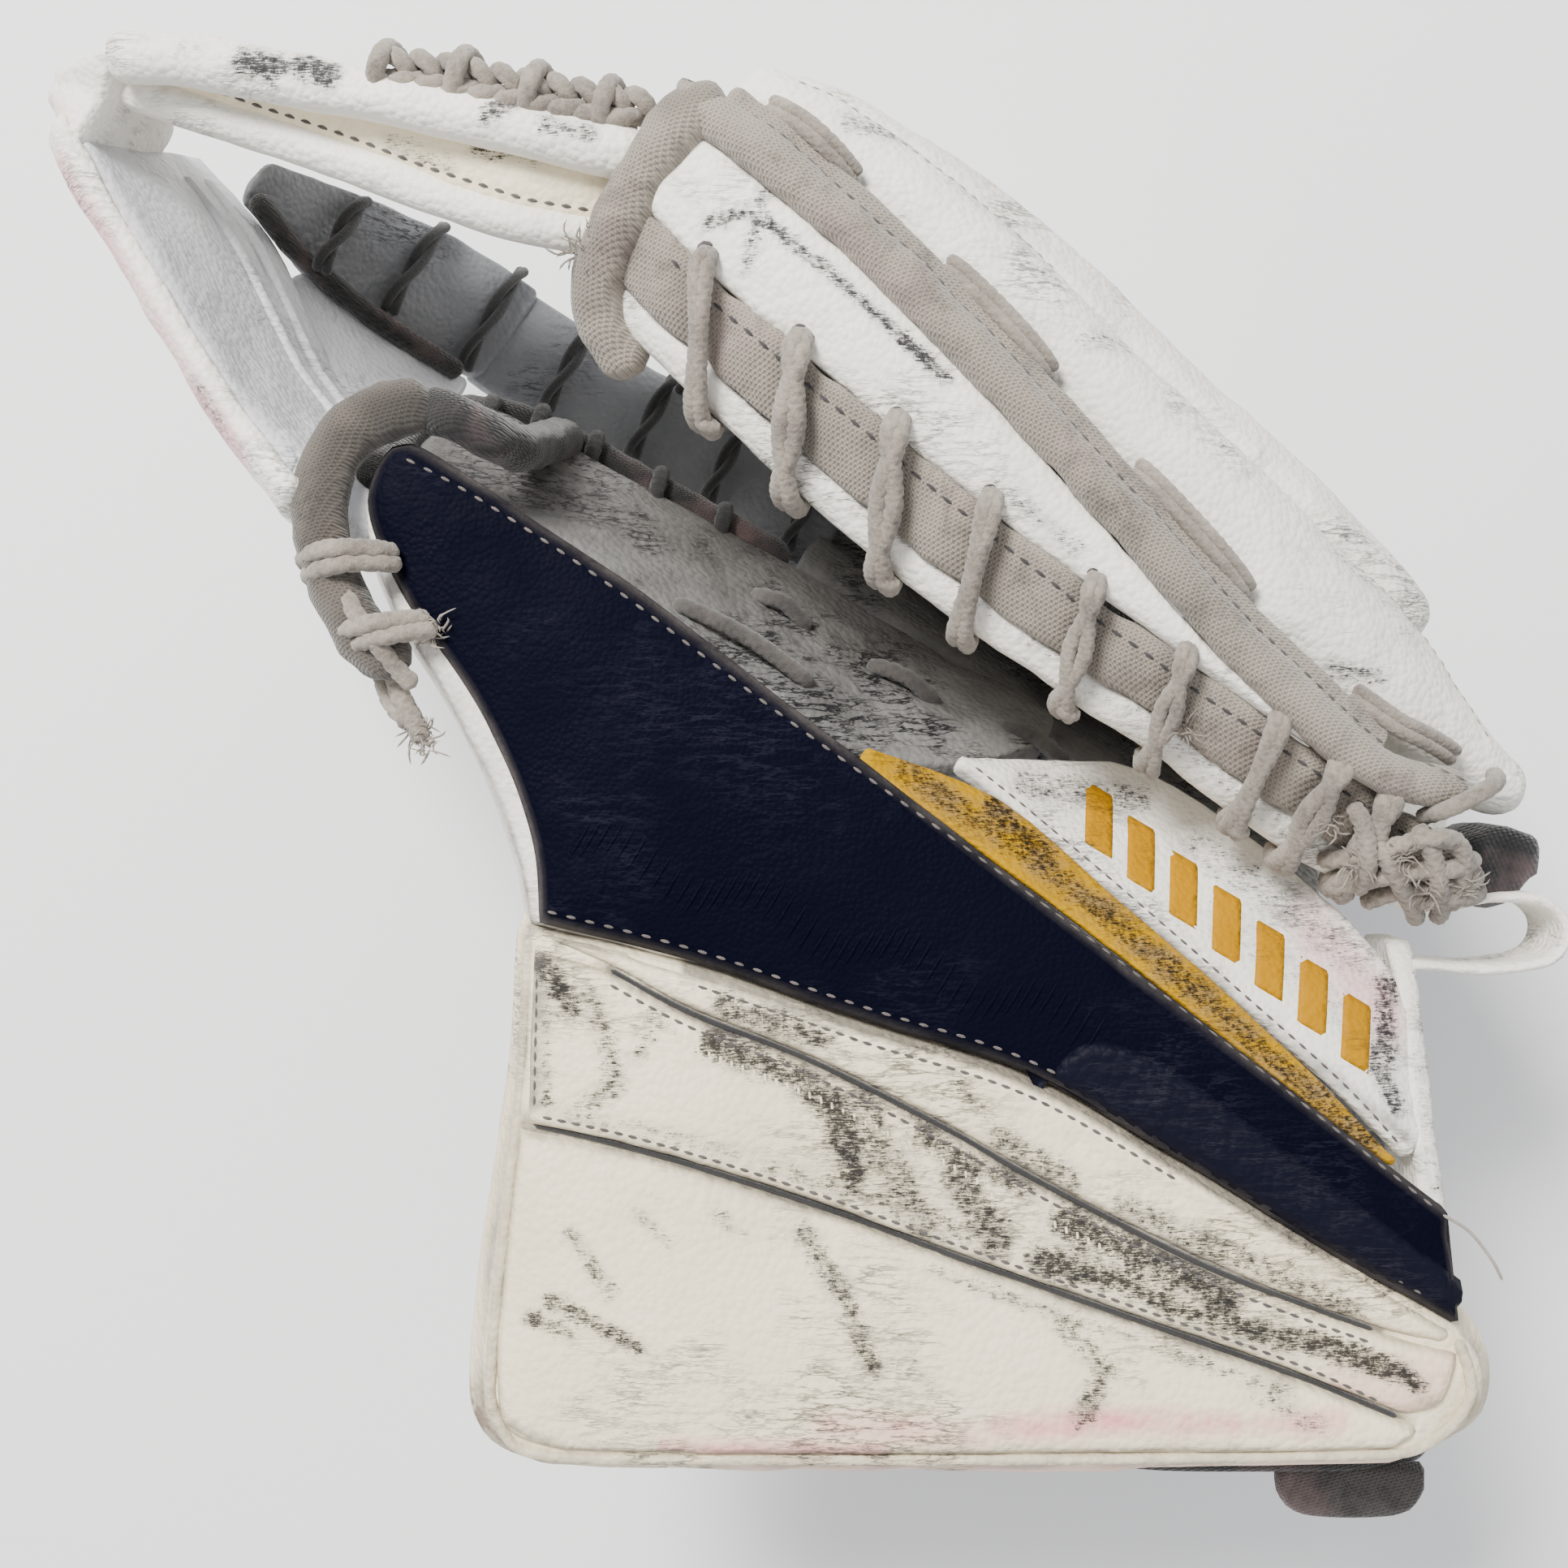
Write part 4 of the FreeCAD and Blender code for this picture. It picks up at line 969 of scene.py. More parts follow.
def thumb_trim():
    """Twill tape round the thumb's tip, the laces that tie it, and their frayed tail."""
    tip = [(-80, 22, 145.5), (-88, 33, 147.5), (-94, 46, 148.8), (-95.5, 60, 148.6), (-89.5, 72.5, 147.5),
           (-79, 78, 147),
           (-72, 77.6, 146)]
    dark = [(-77, 78, 146.6), (-69, 76.5, 144.6), (-62, 73.5, 137), (-58, 73.5, 126), (-56, 77, 109),
            (-54, 81, 92), (-52.5, 83.5, 78)]
    end = tube("thumb_tip_dark_tape", dark, 5.2, board, 18, 1.2, None, 0.9)
    rumple(end, 0.6, (8, 8, 8), 9)
    finish_piece(end, "thumb_side", DARK_TWILL)
    thread = tube("loose_thread", [(136, -89, 147), (141, -92, 148.4), (146, -98, 147.6), (149, -103, 146)],
                  0.34, board, 6)
    finish_piece(thread, "thumb_side", LIGHT_THREAD)
    tape = tube("thumb_tip_tape", tip, 6.0, board, 20, 1.2, None, 0.85)
    rumple(tape, 0.9, (8, 8, 6), 8)
    paint(tape, "dirt_and_shade", [([(-95, 50), (-92, 70), (-66, 76)], 3.0, 0.6), ([(-88, 33), (-82, 24)], 4.0, 0.4),
                         ([(-80, 76), (-68, 76)], 7.0, 0.9)])
    finish_piece(tape, "thumb_side", TIP_TAPE, ["thumb_tip_binding"])
    loops = [
        [(-99, 45.5, 141), (-98.5, 46.5, 149), (-92, 47.6, 155.2), (-84, 47.8, 153.6), (-79.5, 47.4, 149)],
        [(-98.5, 43, 141), (-97, 43.2, 150), (-90, 44.6, 154.8), (-82.5, 45.2, 152.6), (-79, 45, 149)],
        [(-91, 31, 141), (-90.5, 31.5, 149), (-85, 32.4, 154), (-77.5, 33.6, 152), (-73, 34, 148.6)],
        [(-89.5, 28.5, 141), (-88, 28.8, 149), (-82, 30, 153.2), (-75.5, 31.2, 151.6), (-71.5, 31.8, 148.6)],
        [(-91, 42, 148), (-88, 36, 152.5), (-84, 30, 152.5), (-80, 24, 148.5), (-76, 20, 147.6)],
    ]
    tied = joined("thumb_tip_ties", [tube("tie", p, 1.9, board, 12, 0.5, braid()) for p in loops])
    finish_piece(tied, "thumb_side", LACE, ["thumb_tip_lace"])
    tails = [
        [(-86, 30, 141), (-84.5, 23, 140), (-82.5, 17, 139.5), (-78, 12.5, 141)],
        [(-82, 26, 143), (-80.5, 19, 142), (-77.5, 13, 141.5), (-75.5, 8.5, 142)],
    ]
    tail = joined("thumb_lace_tail", [tube("tail", p, 2.0, board, 12, 0.5, braid(3.0, 0.16)) for p in tails])
    finish_piece(tail, "thumb_side", LACE)
    fluff = fray("thumb_tail_fray",
                 [board([x, y, z]) for x, y, z in ((-77, 11, 141), (-75, 8.5, 142), (-72, 32, 149))], 26, 6.0)
    finish_piece(fluff, "thumb_side", LACE)


def fray(name, places, count, reach):
    """Loose fibres that stand out of a worn lace."""
    fibres = []
    for place in places:
        for _ in range(count):
            way = np.array([random.gauss(0, 1), random.gauss(0, 1), abs(random.gauss(0, 0.5))])
            way *= reach * random.uniform(0.4, 1.0) / np.linalg.norm(way)
            bend = np.array([random.uniform(-1, 1) for _ in range(3)]) * reach * 0.25
            start = place + np.array([random.uniform(-1, 1) for _ in range(3)]) * 1.6
            points = np.array([start, start + 0.5 * way + bend, start + way])
            fibres.append(tube("fibre", points, random.uniform(0.14, 0.26), np.asarray, 4, 1.2))
    return joined(name, fibres)


# ---------------------------------------------------------------- heel and pocket


def from_side(p):
    """(y, x, z) in the board frame to the row frame."""
    return board(np.column_stack([p[:, 1], p[:, 0], p[:, 2]]))


def heel_part():
    """The gold and white panels that slope into the mouth, and the strap loop at the heel."""
    gold = loft(
        "heel_gold_panel",
        {
            -24: [(-47, 139.4), (-44.4, 138.2), (-45.2, 135.6), (-47.5, 136.6)],
            6: [(-43.4, 143), (-36.6, 136.8), (-38, 134), (-44.2, 139.4)],
            56: [(-37.4, 143.6), (-27, 133), (-28.6, 130.2), (-38, 140)],
            85: [(-34.4, 143.6), (-22.4, 129), (-24, 126), (-35, 140)],
            113: [(-31.8, 143.6), (-27.4, 139.2), (-28.8, 137), (-32.6, 139.6)],
        },
        1.2, 0.7, 0.0, [16, 2, 16, 2],
    )
    rumple(gold, 0.22, 16, 2)
    paint_mouth(gold, "scuff", [([(-20, -45), (10, -40), (60, -31), (105, -28)], 4.0, 0.8),
                          ([(70, -29), (85, -25)], 4.0, 0.9)])
    finish_piece(gold, "thumb_side", GOLD, ["gold_panel"])
    white = loft(
        "heel_white_panel",
        {
            -27: [(-43.6, 137.4), (-35, 132.4), (-36.4, 129.2), (-44.8, 134)],
            -11: [(-39.4, 137), (-11, 123.4), (-13, 120), (-40.4, 133.6)],
            20: [(-33.4, 133.6), (-1.4, 115.4), (-3.4, 112), (-34.8, 130)],
            55: [(-27, 130.4), (2.2, 101.8), (-0.4, 99), (-28.6, 127.4)],
            78: [(-23, 127), (-8.4, 110.4), (-11.2, 108), (-24.8, 124)],
            94: [(-21.4, 125), (-17.6, 121), (-20, 118.8), (-23.2, 122.6)],
        },
        1.2, 1.0, (0.8, 0, 0, 0), [36, 3, 30, 3],
    )
    rumple(white, 0.35, (14, 14, 9), 5)
    paint_mouth(white, "scuff", [
        ([(-16, -30), (-10, -14)], 4.0, 0.9), ([(-22, -36), (-12, -28)], 3.0, 0.9),
        ([(0, -12), (40, -8)], 6.0, 0.6), ([(55, -6), (80, -16)], 5.0, 0.7),
        ([(-6, -24), (30, -20)], 5.0, 0.5),
    ])
    paint_mouth(white, "pink", [([(-12, -20), (10, -12)], 7.0, 0.55)])
    paint_mouth(white, "dirt_and_shade", [([(-26, -40), (20, -33.6), (94, -21.6)], 1.6, 0.8)])
    finish_piece(white, "thumb_side", WHITE, ["heel_panel"])
    bars = []
    for start in (-13, -1.5, 10, 21.5, 33, 44.5, 56):
        lean = 5.0
        low, high = -30.5 + 0.17 * start, -17.5 + 0.17 * start
        corners = [(start, low), (start + 7, low), (start + 7 + lean, high), (start + lean, high)]
        rim = resample(mouth_plan(corners), 1.2, closed=True)
        bars.append(drape("bar", rim, [white], 0.3, 1.3))
    marks = joined("heel_slanted_bars", bars)
    finish_piece(marks, "thumb_side", ORANGE)
    edge = mouth_plan([(-25, -42), (-8, -37), (20, -31.4), (55, -25), (78, -21), (92, -19)])
    row = stitches("heel_panel_stitches", spline(edge, 1.0), [white], 3.4, 2.6, 0.3)
    finish_piece(row, "thumb_side", GREY_THREAD)
    tops = {-93: 142, -86: 139.6, -71: 134, -56: 129, -42: 123.4, -36.5: 119}
    side = loft(
        "heel_end_wall",
        {y: [(134, z - 0.6), (139.6, z - 1.6), (140, max(z - 26, 114 if y < -76 else 96)),
             (135, max(z - 26, 114 if y < -76 else 96))]
         for y, z in tops.items()},
        1.2, 1.6, (0.6, 0.8, 0, 0), [5, 14, 5, 14], from_side,
    )
    rumple(side, 0.4, 12, 3)
    paint(side, "scuff", [([(137, -90), (138, -60)], 3.0, 0.5), ([(139, -75), (139, -40)], 2.0, 0.5)])
    paint(side, "dirt_and_shade", [([(140, -92), (140.6, -40)], 1.4, 0.6)])
    finish_piece(side, "thumb_side", WHITE)
    route = [(139, -40), (157, -41), (170, -38.5), (173, -31.5), (168, -26), (158, -25), (149.5, -26.5)]
    strap = ribbon("heel_loop_strap", [(x, y, 111) for x, y in route], 22, 2.6)
    rumple(strap, 0.25, 9, 4)
    finish_piece(strap, "thumb_side", WHITE, ["heel_strap_loop"])
    gusset = plate("heel_black_gusset",
                   outline([(150, -24)], [(160, -26), (168, -20)], [(168, -12)], [(156, -10), (150, -14)]),
                   121.0, 97.0, 4.0, 1.6, 1.6)
    rumple(gusset, 0.9, 6, 5)
    finish_piece(gusset, "thumb_side", WEBBING, ["heel_gusset"])


def ribbon(name, points, width, thick):
    """An upright strap that follows a route in plan."""
    line = resample(spline(board(points), 1.0), 1.0)
    way = np.gradient(line, axis=0)
    side = np.cross(way, [0, 0, 1.0])
    side /= np.linalg.norm(side, axis=1)[:, None]
    u = np.linspace(-1, 1, 17)
    profile = [(v * width / 2, thick / 2 * math.sqrt(max(0.04, 1 - abs(v) ** 10))) for v in u]
    profile += [(v * width / 2, -thick / 2 * math.sqrt(max(0.04, 1 - abs(v) ** 10))) for v in u[::-1]]
    points = np.vstack([p + np.array([s * o + np.array([0, 0, h]) for h, o in profile]) for p,
                        s in zip(line, side)])
    count = len(profile)
    obj = new_mesh(name, points, capped_rings(len(line), count), points[:, :2])
    fix_normals(obj)
    return obj


def slab(face, shift):
    """A thin section: its two face corners, and the same two moved through the thickness."""
    (a, b), (c, d) = face
    y, z = shift
    return [(a, b), (c, d), (c + y, d + z), (a + y, b + z)]


def pocket_part():
    """The palm, the laced pocket and its spine, down inside the mouth."""
    skin = (-4.6, -3.2)
    wall = loft(
        "palm_wall",
        {
            80: slab([(-6, 99), (4, 85)], skin),
            95: slab([(-20, 113), (4.5, 78)], skin),
            120: slab([(-28, 121), (4.5, 72.5)], skin),
            180: slab([(-25.6, 121), (3, 74)], skin),
            232: slab([(-22.6, 121), (-2, 84)], skin),
        },
        1.6, 1.5, (1.5, 0, 0, 0), [30, 2, 30, 2],
    )
    rumple(wall, 0.9, (26, 12, 12), 6)
    rumple(wall, 0.25, (6, 5, 5), 7)
    # Painted shade on the wall's deep part, down in the pocket.
    paint_mouth(wall, "dirt_and_shade", [([(226, -14), (160, -4), (100, 0)], 9.0, 0.5)])
    finish_piece(wall, "thumb_side", PALM, ["palm_thumb_wall"])
    floor = loft(
        "palm_bottom",
        {
            5: slab([(-4, 99), (20, 40)], (-6, -2)),
            60: slab([(0, 85), (20, 37)], (-6, -2)),
            94: slab([(4, 74), (20, 36)], (-6, -2)),
            120: slab([(5.5, 67), (20, 36)], (-6, -2)),
            150: slab([(6, 64), (20, 36)], (-6, -2)),
        },
        1.8, 1.5, (1.2, 0, 0, 0), [30, 3, 30, 3],
    )
    rumple(floor, 0.7, (18, 10, 14), 7)
    finish_piece(floor, "thumb_side", PALM, ["palm_floor"])
    fold = loft(
        "palm_fold_skin",
        {
            along: [(15, 44), (21, 40.4), (28, 39), (36, 40.6), (47, 47), (46, 44), (37, 37.6), (29, 36.6),
                    (21, 37.2), (15, 41)]
            for along in (4, 60, 110, 152)
        },
        2.0, 1.5, 0.0, [4, 4, 5, 6, 2, 6, 5, 4, 4, 2],
    )
    rumple(fold, 0.5, (16, 10, 10), 8)
    finish_bend(fold, "thumb_side", "finger_side", "palm_leather", PALM, [77, 18, 40], [77, 42, 40])
    spine = loft(
        "pocket_spine_skin",
        {
            150: slab([(4, 46.5), (31, 39.5)], (-1.2, -4.8)),
            200: slab([(4, 41.5), (34, 31.5)], (-1.5, -4.7)),
            252: slab([(5, 46), (34, 36.5)], (-1.5, -4.7)),
        },
        1.6, 1.5, (1.6, 0, 0, 0), [20, 3, 20, 3],
    )
    rumple(spine, 0.6, (14, 9, 9), 9)
    finish_piece(spine, "thumb_side", SHADED_SPINE_WHITE, ["pocket_spine"])
    t_spine = loft(
        "t_spine_skin",
        {
            250: slab([(6, 47), (35, 38)], (-1.5, -4.7)),
            270: slab([(4, 62), (34, 52)], (-2.5, -4.3)),
            287: slab([(4.5, 80), (28, 72)], (-3.5, -3.5)),
            302: slab([(9, 103), (20, 97)], (-3.5, -3.5)),
        },
        1.6, 1.5, (1.6, 0, 0, 0), [20, 3, 20, 3],
    )
    rumple(t_spine, 0.5, (12, 9, 9), 10)
    finish_piece(t_spine, "t_thumb_leg", SHADED_SPINE_WHITE, ["t_pocket_spine"])
    welt = tube("fold_welt", [(4, 30, 25), (150, 30, 25.01)], 10.6, mouth, 24, 2.0)
    rumple(welt, 0.5, 10, 11)
    finish_piece(welt, "thumb_side", PALM, ["break_welt"])
    edge = [(153, 3.4, 68.4), (175, 3.0, 69), (196, 2.2, 69.6), (214, 1.0, 71.4), (226, -0.5, 74.5),
            (235, -5, 83),
            (239, -11, 94), (239.4, -17.5, 105.6), (238.4, -24, 118), (236, -31, 131), (231, -37.5, 142)]
    binding = tube("palm_edge_tape", edge, 4.2, mouth, 16, 1.0, None, 0.9)
    rumple(binding, 0.5, 7, 12)
    finish_piece(binding, "thumb_side", DARK_TWILL, ["palm_edge_binding"])
    runs = [((155, 140), -8.6, 97.4, 2.6), ((123, 105), -8.8, 98, 2.2), ((90, 71), -5.5, 97.8, 1.4),
            ((167, 133), -21, 116.6, 3.2)]
    rows = []
    for (start, end), t, z, lift in runs:
        middle = (start + end) / 2
        rows.append(tube("run", [(start, t - 1, z - 3), (start - 3, t, z), (middle, t + 1, z + lift * 0.4),
                                 (end + 3, t, z), (end, t - 1, z - 3)], 1.9, mouth, 12, 0.5, braid()))
    finish_piece(joined("palm_long_stitches", rows), "thumb_side", GREY_LACE, ["palm_lace"])
    around = []
    for along, t, z in ((232, -5, 82), (222, 0, 75), (208, 1.6, 71), (190, 2.4, 70), (172, 3, 69.5)):
        around.append(tube("wrap",
                           [(along - 2, t - 8, z + 3), (along - 1, t - 3, z + 6.5),
                            (along + 1, t + 3.4, z + 3.4),
                                    (along + 2, t + 4, z - 4)], 1.9, mouth, 12, 0.5, braid()))
    finish_piece(joined("palm_edge_ties", around), "thumb_side", DARK_LACE)
    lace_points = {284: (4, 26, 85, 76), 271: (6, 34, 66, 55), 252: (5, 37, 50, 40), 229: (7, 35, 47, 37),
                   204: (8, 34, 45, 35), 181: (8, 31, 46, 38), 157: (8, 28, 48, 42)}
    for body, low, high, name in (("thumb_side", 0, 245, "pocket_laces"),
                                  ("t_thumb_leg", 245, 400, "t_pocket_laces")):
        strands = []
        for along, (near, far, z_near, z_far) in lace_points.items():
            if not low < along <= high:
                continue
            for twist in (0.0, math.pi):
                line = []
                for k in range(13):
                    u = k / 12
                    turn = 5.5 * u + twist
                    line.append((along + 2.5 * u + 1.2 * math.cos(turn), near + (far - near) * u,
                                 z_near + (z_far - z_near) * u + 4.4 + 1.2 * math.sin(turn) - 3.5 * (2 * u - 1) ** 6))
                strands.append(tube("strand", line, 1.35, mouth, 10, 0.6))
        finish_piece(joined(name, strands), body, DARK_LACE)


# ---------------------------------------------------------------- finger side

# Station: lip, upper edge of the strip, middle of the roll, outer side, height of the lip.
FINGER = np.array([
    (-12, 4, 18, 29, 45, 118), (25, 0, 18.5, 24, 64, 130), (60, 2, 19, 29.5, 71.5, 138),
    (90, 3, 21, 37.5, 77, 142),
    (125, 5.5, 25, 47.5, 84, 145), (160, 11, 30, 56.5, 88.5, 147), (190, 17, 35, 62, 90, 148),
    (204, 20.5, 39, 63.7, 87, 147), (213, 23, 41, 64.5, 84, 146),
])


FingerSizes = namedtuple("FingerSizes", "lip strip roll out top")


def at_station(along):
    """The finger side's sizes at a station, in the order of the table."""
    return FingerSizes(*(float(np.interp(along, FINGER[:, 0], FINGER[:, k])) for k in range(1, 6)))


def along_fingers(section, first=-12, last=204):
    """The sections of a finger-side piece, at the table's stations."""
    return {int(a): section(at_station(a)) for a in FINGER[:, 0] if first <= a <= last}


CLOTH_FRAMES = 20


def puffed(obj, swell, cap, voxel=4.5):
    """Air in a leather cover: remesh, cloth with pressure, a cap on the movement, then subdivide."""
    modifier = obj.modifiers.new("even", "REMESH")
    modifier.mode = "VOXEL"
    modifier.voxel_size = voxel * MM
    apply_modifier(obj, modifier)
    start = vertices(obj)
    cloth = obj.modifiers.new("air", "CLOTH")
    cloth.settings.quality = 5
    cloth.settings.mass = 0.15
    cloth.settings.tension_stiffness = 30
    cloth.settings.compression_stiffness = 30
    cloth.settings.bending_stiffness = 1.0
    cloth.settings.use_pressure = True
    cloth.settings.uniform_pressure_force = swell
    cloth.settings.effector_weights.gravity = 0
    cloth.point_cache.frame_start = 1
    cloth.point_cache.frame_end = CLOTH_FRAMES
    scene = bpy.context.scene
    for number in range(1, CLOTH_FRAMES + 1):
        scene.frame_set(number)
    blown = vertices(obj.evaluated_get(bpy.context.evaluated_depsgraph_get()))
    obj.modifiers.remove(cloth)
    shift = blown - start
    far = np.linalg.norm(shift, axis=1)
    shift *= np.minimum(1.0, cap / np.maximum(far, 1e-9))[:, None]
    move_points(obj, start + shift)
    scene.frame_set(1)
    smooth = obj.modifiers.new("smooth", "SUBSURF")
    smooth.levels = 1
    apply_modifier(obj, smooth)
    obj.data.shade_smooth()


def apply_modifier(obj, modifier):
    """Leaves the modifier's result in the mesh."""
    evaluated = obj.evaluated_get(bpy.context.evaluated_depsgraph_get())
    mesh = bpy.data.meshes.new_from_object(evaluated)
    obj.modifiers.remove(modifier)
    old = obj.data
    obj.data = mesh
    bpy.data.meshes.remove(old)


def finger_half():
    """The hinged half: inner wall, twill strip, rim, roll, the padded ridges and all their laces."""

    def wall(at):
        face = [(at.lip + 5.4, at.top + 2.8), (at.lip - 0.2, at.top - 1.4), (at.lip + 1.4, at.top - 8),
                (at.lip + 19, 88), (40, 43)]
        return face + [(48, 45), (at.lip + 27, 90), (at.lip + 11, at.top - 3)]

    inner = loft("finger_inner_wall", along_fingers(wall, -12, 213), 1.6, 1.6, (0.8, 0.6, 0, 0, 0, 0, 0, 0),
                 [6, 6, 22, 24, 4, 24, 20, 6])
    rumple(inner, 0.6, (30, 14, 14), 12)
    rumple(inner, 0.2, (6, 5, 5), 13)
    paint_mouth(inner, "scuff", [([(20, 3), (90, 8), (160, 16)], 3.0, 0.5)])
    finish_piece(inner, "finger_side", WHITE, ["finger_palm_wall"])

    def strip_section(at):
        return [(at.lip + 5.2, at.top + 3.6), (at.strip + 0.4, at.top + 12.8), (at.strip + 2.2, at.top + 9),
                (at.lip + 7.4, at.top + 0.6)]

    strip = loft("finger_edge_twill", along_fingers(strip_section, -12, 213), 1.2, 1.6, (1.0, 0, 0, 0),
                 [20, 3, 20, 3], cap=3.0)
    rumple(strip, 0.8, (9, 8, 8), 14)
    loops = loop_places()
    p = vertices(strip)
    local = to_mouth(p)
    pinch = np.zeros(len(p))
    for (s0, _), (s1, _) in loops:
        pinch = np.maximum(pinch, np.exp(-(((local[:, 0] - (s0 + s1) / 2) / 4.0) ** 2)))
    move_points(strip, p - normals(strip) * (0.9 * pinch)[:, None])
    # Darker in the dents where the laces pinch the strip.
    fold_line = [mouth_plan([(s0, t0), (s1, t1)]) for (s0, t0), (s1, t1) in loops]
    paint(strip, "dirt_and_shade", [(line, 5.0, 0.45) for line in fold_line])
    finish_piece(strip, "finger_side", TWILL, ["finger_edge_strip"])
    line = mouth_plan([(a, at_station(a).strip - 3.0) for a in range(-10, 203, 4)])
    row = stitches("finger_edge_stitches", line, [strip], 4.0, 3.0, 0.4)
    finish_piece(row, "finger_side", DARK_THREAD)

    def rim_section(at):
        inside, outside = at.strip + 1.0, max(at.roll - 5.4, at.strip + 2.2)
        return [(inside, at.top + 12.4), (outside, at.top + 14.6), (outside, at.top + 8.6),
                (inside, at.top + 7.6)]

    rim = loft("finger_rim_skin", along_fingers(rim_section, 25, 213), 1.6, 1.2, (1.6, 0, 0, 0),
               [16, 3, 16, 3])
    rumple(rim, 0.45, (20, 12, 9), 15)
    rumple(rim, 0.15, 4, 16)
    paint_mouth(rim, "scuff", [([(196, 44), (190, 50), (170, 48), (140, 42)], 2.0, 0.95),
                         ([(185, 40), (190, 56)], 2.0, 0.8), ([(120, 30), (100, 27)], 2.4, 0.6)])
    finish_piece(rim, "finger_side", WHITE, ["finger_rim_face"])

    def upper(at):
        return [(at.roll + 7, at.top + 7.5), (at.out - 4.6, at.top - 7.5), (at.out - 15, at.top - 15),
                (at.roll + 1, at.top - 6)]

    def middle(at):
        return [(at.out - 3.4, at.top - 7.8), (at.out + 3.6, 84), (at.out - 10, 84),
                (at.out - 14, at.top - 16)]

    def lower(at):
        foot = 0.45 * at.out + 30
        outer = [(at.out + 3.6, 83), (at.out + 2, 48), (foot, 22.5)]
        return outer + [(foot - 8, 33), (at.out - 12, 54), (at.out - 11, 82.5)]

    ridges = {
        "upper": (upper, -12, (5.6, 0, 0, 0), [30, 14, 26, 16], "finger_upper_ridge"),
        "middle": (middle, 20, (4.4, 0, 0, 0), [34, 12, 32, 8], "finger_middle_ridge"),
        "lower": (lower, 20, (2.2, 2.2, 0, 0, 0, 0), [24, 18, 8, 14, 18, 8], "finger_lower_ridge"),
    }
    pads = []
    for name, (section, first, puff, counts, node) in ridges.items():
        pad = loft(f"finger_{name}_pad", along_fingers(section, first), 2.4, 2.0, puff, counts, cap=5.0)
        puffed(pad, 4.0, 2.2)
        rumple(pad, 0.8, (34, 16, 16), 17)
        rumple(pad, 0.18, (5, 6, 6), 18)
        finish_piece(pad, "finger_side", WHITE, [node])
        pads.append(pad)
    paint_mouth(pads[0], "scuff", [([(184, 78), (170, 84)], 3.0, 0.7), ([(120, 66), (112, 70)], 3.0, 0.6),
                             ([(40, 36), (30, 40)], 3.0, 0.8), ([(160, 80), (140, 78)], 2.0, 0.5)])
    seam = mouth_plan([(a, at_station(a).out - 7.5) for a in range(0, 203, 4)])
    row = stitches("finger_seam_stitches", seam, [pads[0]], 3.2, 2.3, 0.3)
    finish_piece(row, "finger_side", LIGHT_THREAD)

    places = [a for a in FINGER[:, 0] if a >= 0]
    line = [(2, 28.5, 138)] + [(a, at_station(a).roll - 1.4, at_station(a).top + 15.4)
                               for a in places] + [(211, 64.5, 160.5)]
    roll = tube("finger_edge_twill_roll", line, 4.5, mouth, 20, 1.1)
    rumple(roll, 0.6, (7, 7, 7), 19)
    finish_piece(roll, "finger_side", TWILL, ["finger_edge_roll"])

    def flange_section(at):
        return [(at.roll + 1.5, at.top + 16.6), (at.roll + 7.2, at.top + 14), (at.roll + 6.6, at.top + 11.6),
                (at.roll + 1, at.top + 13)]

    flange = loft("finger_roll_flange", along_fingers(flange_section, 0), 1.2, 0.8, 0.0, [8, 2, 8, 2])
    rumple(flange, 0.35, (9, 6, 6), 20)
    finish_piece(flange, "finger_side", TWILL)
    line = mouth_plan([(a, at_station(a).roll + 3.4) for a in range(4, 203, 4)])
    row = stitches("finger_roll_stitches", line, [flange, roll], 3.6, 2.6, 0.34)
    finish_piece(row, "finger_side", GREY_THREAD)

    tip = [(196, 15.5, 139), (204, 17.5, 142), (209.6, 21.5, 146), (212.6, 29, 151), (213, 39, 156),
           (212.4, 50, 159.4),
           (210.4, 60, 161), (205, 67, 160.2)]
    tape = tube("finger_tip_tape", tip, 5.9, mouth, 22, 1.1, None, 0.85)
    rumple(tape, 0.9, (9, 9, 7), 21)
    paint_mouth(tape, "dirt_and_shade", [([(214, 60), (206, 68)], 4.0, 0.5), ([(219, 26), (212, 20)], 4.0, 0.4)])
    finish_piece(tape, "finger_side", TWILL, ["finger_tip_binding"])
    end = loft(
        "finger_end_skin",
        {
            a: [(25, 138), (41, 152), (64, 157), (82, 139), (88.5, 118), (89.5, 84), (87.5, 48), (70, 25),
                (62, 34), (48, 44),
                (40, 46), (44, 88)]
            for a in (205, 208)
        },
        1.5, 2.2, 0.4, [10, 12, 12, 10, 16, 18, 14, 6, 8, 4, 20, 26], cap=3.5,
    )
    rumple(end, 1.0, (14, 14, 14), 44)
    finish_piece(end, "finger_side", SHADED_INNER_WHITE)
    finger_lacing()
    net = []
    for i in range(5):
        a = 156 + 10.5 * i
        net.append(tube("strand", [(a, 30, 40), (a + 1, 34, 42.5), (a + 3, 39, 49), (a + 5, 44, 55)], 1.6,
                        mouth, 10, 0.6))
        net.append(tube("strand", [(a + 5, 30, 40), (a + 4, 35, 43.5), (a + 2, 39, 48), (a + 0.5, 43, 54)],
                        1.6, mouth, 10, 0.6))
    laced = joined("pocket_side_laces", net)
    finish_bend(laced, "thumb_side", "finger_side", "dark_lace", DARK_LACE, [77, 33, 42], [77, 42, 52])


def to_mouth(p):
    """Board-frame points as (station, across, height)."""
    q = p + BOARD_ORIGIN - HEEL
    return np.column_stack([q @ ALONG, q @ ACROSS, q[:, 2]])


